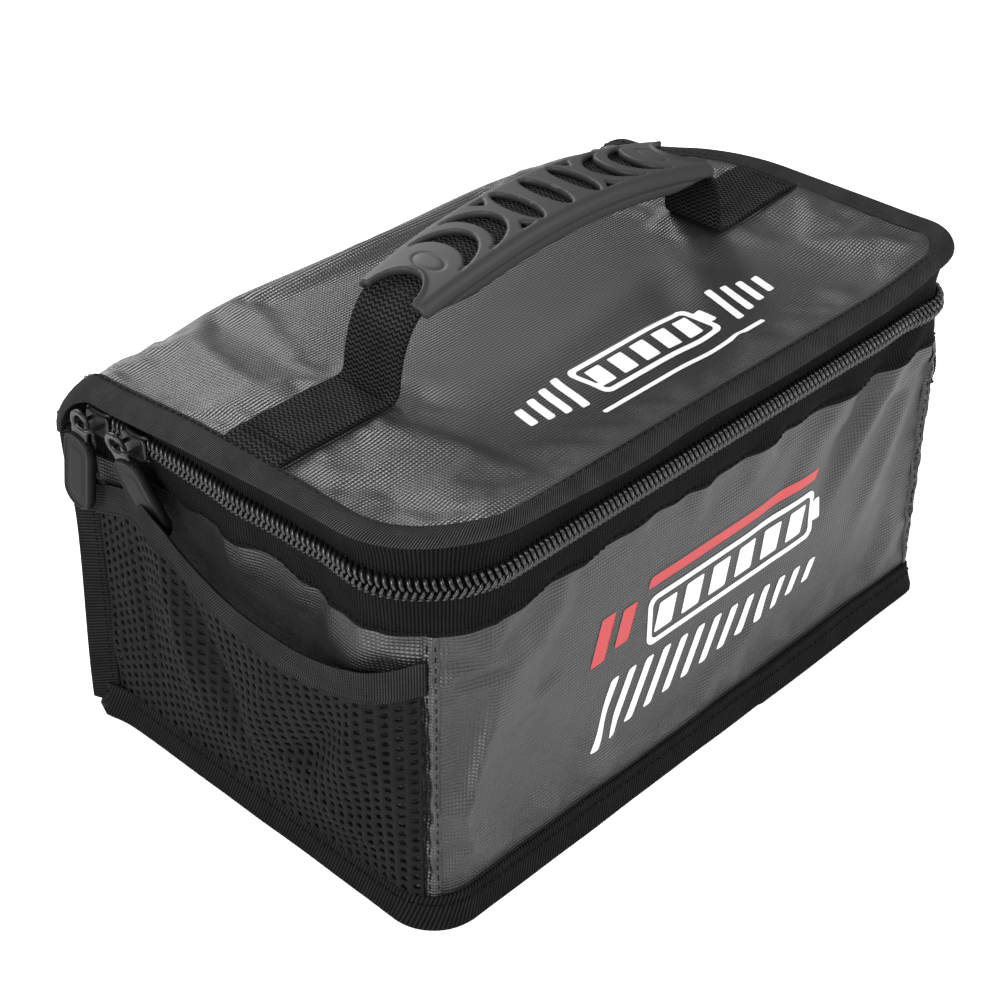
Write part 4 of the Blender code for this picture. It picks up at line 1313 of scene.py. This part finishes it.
def grip_webbing():
    xs = np.linspace(-62.0, 2 * GRIP_MIDDLE + 62.0, 110)
    path = np.stack([xs, grip_height(xs) - 2.25], -1)
    piece = strap_along("grip_webbing", path, -1)
    dress(piece, "webbing", "grip", "webbing", "grip_webbing")


GRIP_WIDTH = 30.0
GRIP_EDGE = 3.2
GRIP_FLAT = GRIP_WIDTH / 2 - GRIP_EDGE
GRIP_WRAP = GRIP_FLAT + GRIP_EDGE * pi / 2 + 3.6


def notch(x, t):
    left, right = [ellipse(x, t, GRIP_MIDDLE + side * 71.0, 0, 12.0, 9.9) for side in (-1, 1)]
    return np.maximum(left, right)


def holes(x, t):
    """Positive inside the grip's cut-outs."""
    m = np.abs(x - GRIP_MIDDLE)
    out = np.full(np.broadcast(x, t).shape, -9.0)
    for tips, outer, inner in ((50.8, 15.9, 7.4), (37.2, 15.0, 6.8)):
        a = ellipse(m, t, tips, 0, outer, 11.4)
        b = -ellipse(m, t, tips, 0, inner, 11.0)
        out = np.maximum(out, np.minimum(np.minimum(a, b), (tips - 0.3 - m) / 6))
    for cx in (-13.4, 0.0, 13.4):
        out = np.maximum(out, ellipse(x - GRIP_MIDDLE, t, cx, 0, 3.85, 11.4))
    for cy in (9.7, -9.7):
        for cx in (-20.2, 20.2):
            p, q = (x - GRIP_MIDDLE - cx), (t - cy) * np.sign(cy)
            tri = np.minimum(np.minimum(1.7 - q, 1.3 + 0.75 * q - p + 0.2), 1.3 + 0.75 * q + p + 0.2)
            out = np.maximum(out, tri / 4)
    return out


def grip_shape(x, t):
    m = np.abs(x - GRIP_MIDDLE)
    skirt = GRIP_WRAP - 3.4 * smoothstep(m, 46, 69)
    body = np.minimum(box_shape(x, t, GRIP_MIDDLE, 0, GRIP_HALF, GRIP_WRAP, 5.5), skirt - np.abs(t))
    return np.minimum(np.minimum(body, -notch(x, t) * 5), -holes(x, t) * 4)


def grip_place(x, t, up):
    """Point on the grip, from its places along and round it and its height over the skin's middle."""
    m = (x - GRIP_MIDDLE) / GRIP_HALF
    slope = -20 * m / GRIP_HALF
    size = np.sqrt(1 + slope ** 2)
    over = np.clip(np.abs(t) - GRIP_FLAT, 0, None)
    turn = np.clip(over / GRIP_EDGE, 0, pi / 2)
    down = np.clip(over - GRIP_EDGE * pi / 2, 0, None)
    y = np.minimum(np.abs(t), GRIP_FLAT) + GRIP_EDGE * np.sin(turn)
    crown = 0.5 * (np.minimum(np.abs(t), GRIP_FLAT) / GRIP_FLAT) ** 2 * 0.9
    z = -GRIP_EDGE * (1 - np.cos(turn)) - down - crown
    ny, nz = np.sin(turn), np.cos(turn)
    y, z = (y + ny * up) * np.sign(t), z + nz * up
    narrow = 1 - 0.045 * smoothstep(np.abs(x - GRIP_MIDDLE), 40, 70)
    return arr(x - z * slope / size, WEB_Y + y * narrow, grip_height(x) + z / size)


def grip():
    flat, faces, depth = cut(grip_shape, -67.4, 74.6, -21.0, 21.0, 0.5)
    x, t = flat[:, 0], flat[:, 1]
    lip = -notch(x, t) * 5.6
    lip = 0.8 * np.exp(-((lip - 0.7) / 0.8) ** 2) * (np.abs(t) < 17)
    oval = np.maximum(ellipse(x, t, -49.6, 0, 3.4, 6.3), ellipse(x, t, 2 * GRIP_MIDDLE + 49.6, 0, 3.4, 6.3))
    mark = -0.35 * np.exp(-(oval / 0.2) ** 2) + 0.12 * smoothstep(oval, 0.1, 0.8)
    groove = -0.45 * np.exp(-((np.abs(t) - 17.3) / 0.45) ** 2)
    top = 1.1 + lip + mark + groove - np.where(depth < 0.2, 0.4, 0.0)
    verts, solid = plate(flat, faces, grip_place(x, t, top), grip_place(x, t, -1.1 + 0 * x))
    piece = new_object("grip", verts, solid)
    dress(piece, "grip", "grip", "grip_rubber", "grip")


webbing(-1)
webbing(1)
grip_webbing()
grip()

# ---------------------------------------------------------------- sliders and pulls

PULLS = {"a": (68.5, -10.0, 0.0), "b": (50.0, 20.0, 10.0)}


def moulded(name, shape, x0, x1, y0, y1, step, thickness, edge, place, look, body, slot, nodes, relief=None):
    flat, faces, depth = cut(shape, x0, x1, y0, y1, step)
    drop = rounded(depth, edge)
    extra = relief(flat[:, 0], flat[:, 1], depth) if relief else 0.0
    top = arr(flat[:, 0], flat[:, 1], thickness / 2 - drop + extra)
    bottom = arr(flat[:, 0], flat[:, 1], -thickness / 2 + drop - extra)
    verts, solid = plate(flat, faces, top, bottom)
    spot = np.array([(place @ Vector(v)) for v in verts])
    piece = new_object(name, spot, solid)
    return dress(piece, look, body, slot, *nodes)


def pull(letter):
    at, swing, lean = PULLS[letter]
    turn = (Matrix.Rotation(radians(-swing), 4, "X") @ Matrix.Rotation(radians(-lean), 4, "Y")
            @ Matrix.Rotation(pi / 2, 4, "Z") @ Matrix.Rotation(pi / 2, 4, "X"))
    place = Matrix.Translation((-136.0, at, 129.5)) @ turn

    def eye(x, y):
        ring = 4.7 - np.hypot(x, y)
        neck = box_shape(x, y, 0, -4.0, 3.9, 4.0, 0.8)
        return np.minimum(np.maximum(ring, neck), np.hypot(x, y) - 2.7)

    def tab(x, y):
        return box_shape(x, y, 0, -19.9, 7.0, 15.3, 6.3)

    def rim(x, y, depth):
        inner = -0.42 * smoothstep(depth, 1.0, 1.7)
        panel = 0.16 * smoothstep(box_shape(x, y, 0, -20.2, 3.6, 10.2, 3.0), 0, 0.8)
        return inner + panel

    moulded("pull_%s_eye" % letter, eye, -5.2, 5.2, -10.4, 5.2, 0.35, 1.4, 0.4, place, "metal",
            "pull_" + letter, "slider_metal",
            ["pull_%s_eye" % letter])
    moulded("pull_%s_rubber" % letter, tab, -7.5, 7.5, -35.7, -4.2, 0.45, 3.6, 1.3, place, "pull",
            "pull_" + letter, "pull_rubber",
            ["pull_%s_rubber" % letter], rim)


def slider(letter):
    at = PULLS[letter][0]
    centre = at - 3.25
    facing = Matrix.Rotation(pi / 2, 4, "Z") @ Matrix.Rotation(pi / 2, 4, "X")
    place = Matrix.Translation((-131.3, centre, 128.75)) @ facing

    def face(x, y):
        waist = 4.3 - 0.8 * np.exp(-((x + 0.5) / 2.6) ** 2)
        return np.minimum(box_shape(x, y, 0, 0, 5.8, 4.3, 2.0), waist - np.abs(y))

    moulded("slider_%s" % letter, face, -7, 7, -5.2, 5.2, 0.35, 1.3, 0.45, place, "metal",
            "slider_" + letter, "slider_metal",
            ["slider_" + letter])
    for name, z in (("upper", 4.15), ("lower", -4.15)):
        path = np.array([[(-130.9, centre + y, 128.75 + z + 0.0) for y in np.linspace(-5.4, 5.4, 9)]])
        path[..., 0] += 1.4 * (np.linspace(-1, 1, 9) ** 4)
        piece = tubes("slider_%s_%s_flange" % (letter, name), path, 0.75, sides=8)
        dress(piece, "metal", "slider_" + letter, "slider_metal")
    half = 3.25
    y = at - half
    near = [(-131.6, half + 0.3), (-134.0, half), (-136.6, half - 0.1), (-138.0, half - 1.6), (-138.2, 0.0)]
    far = [(-138.0, -half + 1.6), (-136.6, -half + 0.1), (-134.0, -half), (-131.6, -half - 0.3)]
    bail = open_curve(np.array(near + far), 40)
    path = arr(bail[:, 0], y + bail[:, 1], 129.5 + 0 * bail[:, 0])
    piece = tubes("slider_%s_bail" % letter, path[None], 0.75, sides=10)
    dress(piece, "metal", "slider_" + letter, "slider_metal", "slider_%s_bail" % letter)


for which in "ab":
    pull(which)
    slider(which)

# ---------------------------------------------------------------- printed mark


def bar(x, y, cx, cy, hx, hy, slant=0.0, r=0.6):
    return box_shape(x - slant * (y - cy), y, cx, cy, hx, hy, r)


def battery_outline(x, y, cx, cy, hx, hy, line):
    outer = box_shape(x, y, cx, cy, hx, hy, 3.0)
    inner = box_shape(x, y, cx, cy, hx - line, hy - line, 2.0)
    terminal = bar(x, y, cx + hx + 1.6, cy, 1.4, hy * 0.42, 0.0, 0.8)
    return np.maximum(np.minimum(outer, -inner), terminal)


def print_on(name, shape, x0, x1, y0, y1, place, look, body):
    """A printed shape, a thin coat just over the cloth; place turns its plane into points on the cloth."""
    flat, faces, depth = cut(shape, x0, x1, y0, y1, 0.45)
    top = place(flat[:, 0], flat[:, 1])
    piece = new_object(name, top, faces, flat)
    return dress(piece, look, body, None)


def on_lid(a, b):
    x, w = 8.0 + a, -49.0 + b
    return lid(x, w, 0.12)[0]


def on_front(a, b):
    z = 59.0 + 1.2 * b
    left, right = corner_radius(z), corner_radius(z, 1)
    share = (8.0 + 1.32 * a + HALF_LENGTH - left) / (2 * HALF_LENGTH - left - right)
    return wall(2 + share, z, 0.12)[0]


def lid_mark(x, y):
    shape = battery_outline(x, y, -2, 3, 29, 9.5, 2.2)
    for k in range(5):
        shape = np.maximum(shape, bar(x, y, -24.0 + 10.8 * k, 3, 3.4, 5.2, 0.25))
    for k in range(4):
        shape = np.maximum(shape, bar(x, y, 38.5 + 7.0 * k, 3, 1.7, 9.5 - 1.5 * k, 0.25, 0.8))
        shape = np.maximum(shape, bar(x, y, -38.5 - 6.6 * k, 3, 1.7, 9.5 - 1.5 * k, 0.25, 0.8))
    return np.maximum(shape, bar(x, y, 0, -12.6, 40, 0.9, 0.0, 0.6))


def front_mark(x, y):
    shape = battery_outline(x, y, 8, 7, 34, 8.4, 1.8)
    for k in range(6):
        shape = np.maximum(shape, bar(x, y, -19.0 + 10.6 * k, 7, 3.4, 4.6, 0.2))
    for k in range(13):
        shape = np.maximum(shape, bar(x, y, -42 + 7.0 * k, -14, 1.5, 10.0 - 0.55 * k, 0.45, 0.8))
    return shape


def front_mark_red(x, y):
    shape = bar(x, y, -43, 12, 2.6, 7.0, 0.3)
    shape = np.maximum(shape, bar(x, y, -34.5, 12, 2.6, 5.6, 0.3))
    return np.maximum(shape, bar(x, y, 8, 20.5, 34, 1.7, 0.3, 0.8))


print_on("lid_print", lid_mark, -63, 64, -15, 14.5, on_lid, "white", "lid")
print_on("front_print", front_mark, -49, 49, -31, 19, on_front, "white", "bag")
print_on("front_print_red", front_mark_red, -50, 45, 3, 27, on_front, "red", "bag")

# ---------------------------------------------------------------- floor, light and camera


def studio():
    mesh = bpy.data.meshes.new("floor")
    mesh.from_pydata([(-6, -6, 0), (6, -6, 0), (6, 6, 0), (-6, 6, 0)], [], [(0, 1, 2, 3)])
    floor = bpy.data.objects.new("floor", mesh)
    bpy.context.scene.collection.objects.link(floor)
    look = Look("floor_look", 0.9, specular=0.0)
    look.colour(look.blend(look.noise(2.0), (0.93, 0.93, 0.93), (0.95, 0.95, 0.95)))
    look.shader.inputs["Emission Color"].default_value = (1, 1, 1, 1)
    look.shader.inputs["Emission Strength"].default_value = 0.44
    mesh.materials.append(look.made)
    world = bpy.data.worlds.new("studio")
    bpy.context.scene.world = world
    world.use_nodes = True
    world.node_tree.nodes["Background"].inputs[0].default_value = (1, 1, 1, 1)
    world.node_tree.nodes["Background"].inputs[1].default_value = 0.34

    def lamp(name, at, target, size, power):
        data = bpy.data.lights.new(name, "AREA")
        data.shape = "RECTANGLE"
        data.size, data.size_y = size
        data.energy = power
        made = bpy.data.objects.new(name, data)
        made.location = at
        made.rotation_euler = (Vector(target) - Vector(at)).to_track_quat("-Z", "Y").to_euler()
        bpy.context.scene.collection.objects.link(made)

    lamp("key", (0.7, -1.1, 1.3), (0, 0, 0.08), (0.8, 0.8), 19)
    lamp("back", (0.35, 1.45, 1.05), (-0.05, 0.05, 0.14), (1.1, 0.7), 31)
    lamp("left", (-1.3, -0.35, 0.72), (-0.1, 0, 0.08), (0.6, 0.6), 24)


def camera():
    az, el, roll = radians(-46.47), radians(34.73), radians(0.44)
    back = Vector((sin(az) * cos(el), -cos(az) * cos(el), sin(el)))
    level = Vector((cos(az), sin(az), 0.0))
    up = back.cross(level)
    right = cos(roll) * level + sin(roll) * up
    up = -sin(roll) * level + cos(roll) * up
    data = bpy.data.cameras.new("camera")
    data.sensor_width = 36.0
    data.lens = 75.43
    data.clip_start, data.clip_end = 0.02, 50.0
    made = bpy.data.objects.new("camera", data)
    eye = Vector((-0.45161, -0.41635, 0.49092))
    turn = Matrix((right, up, back)).transposed().to_4x4()
    made.matrix_world = Matrix.Translation(eye) @ turn
    bpy.context.scene.collection.objects.link(made)
    bpy.context.scene.camera = made


studio()
camera()
bpy.context.scene.view_settings.view_transform = "Standard"
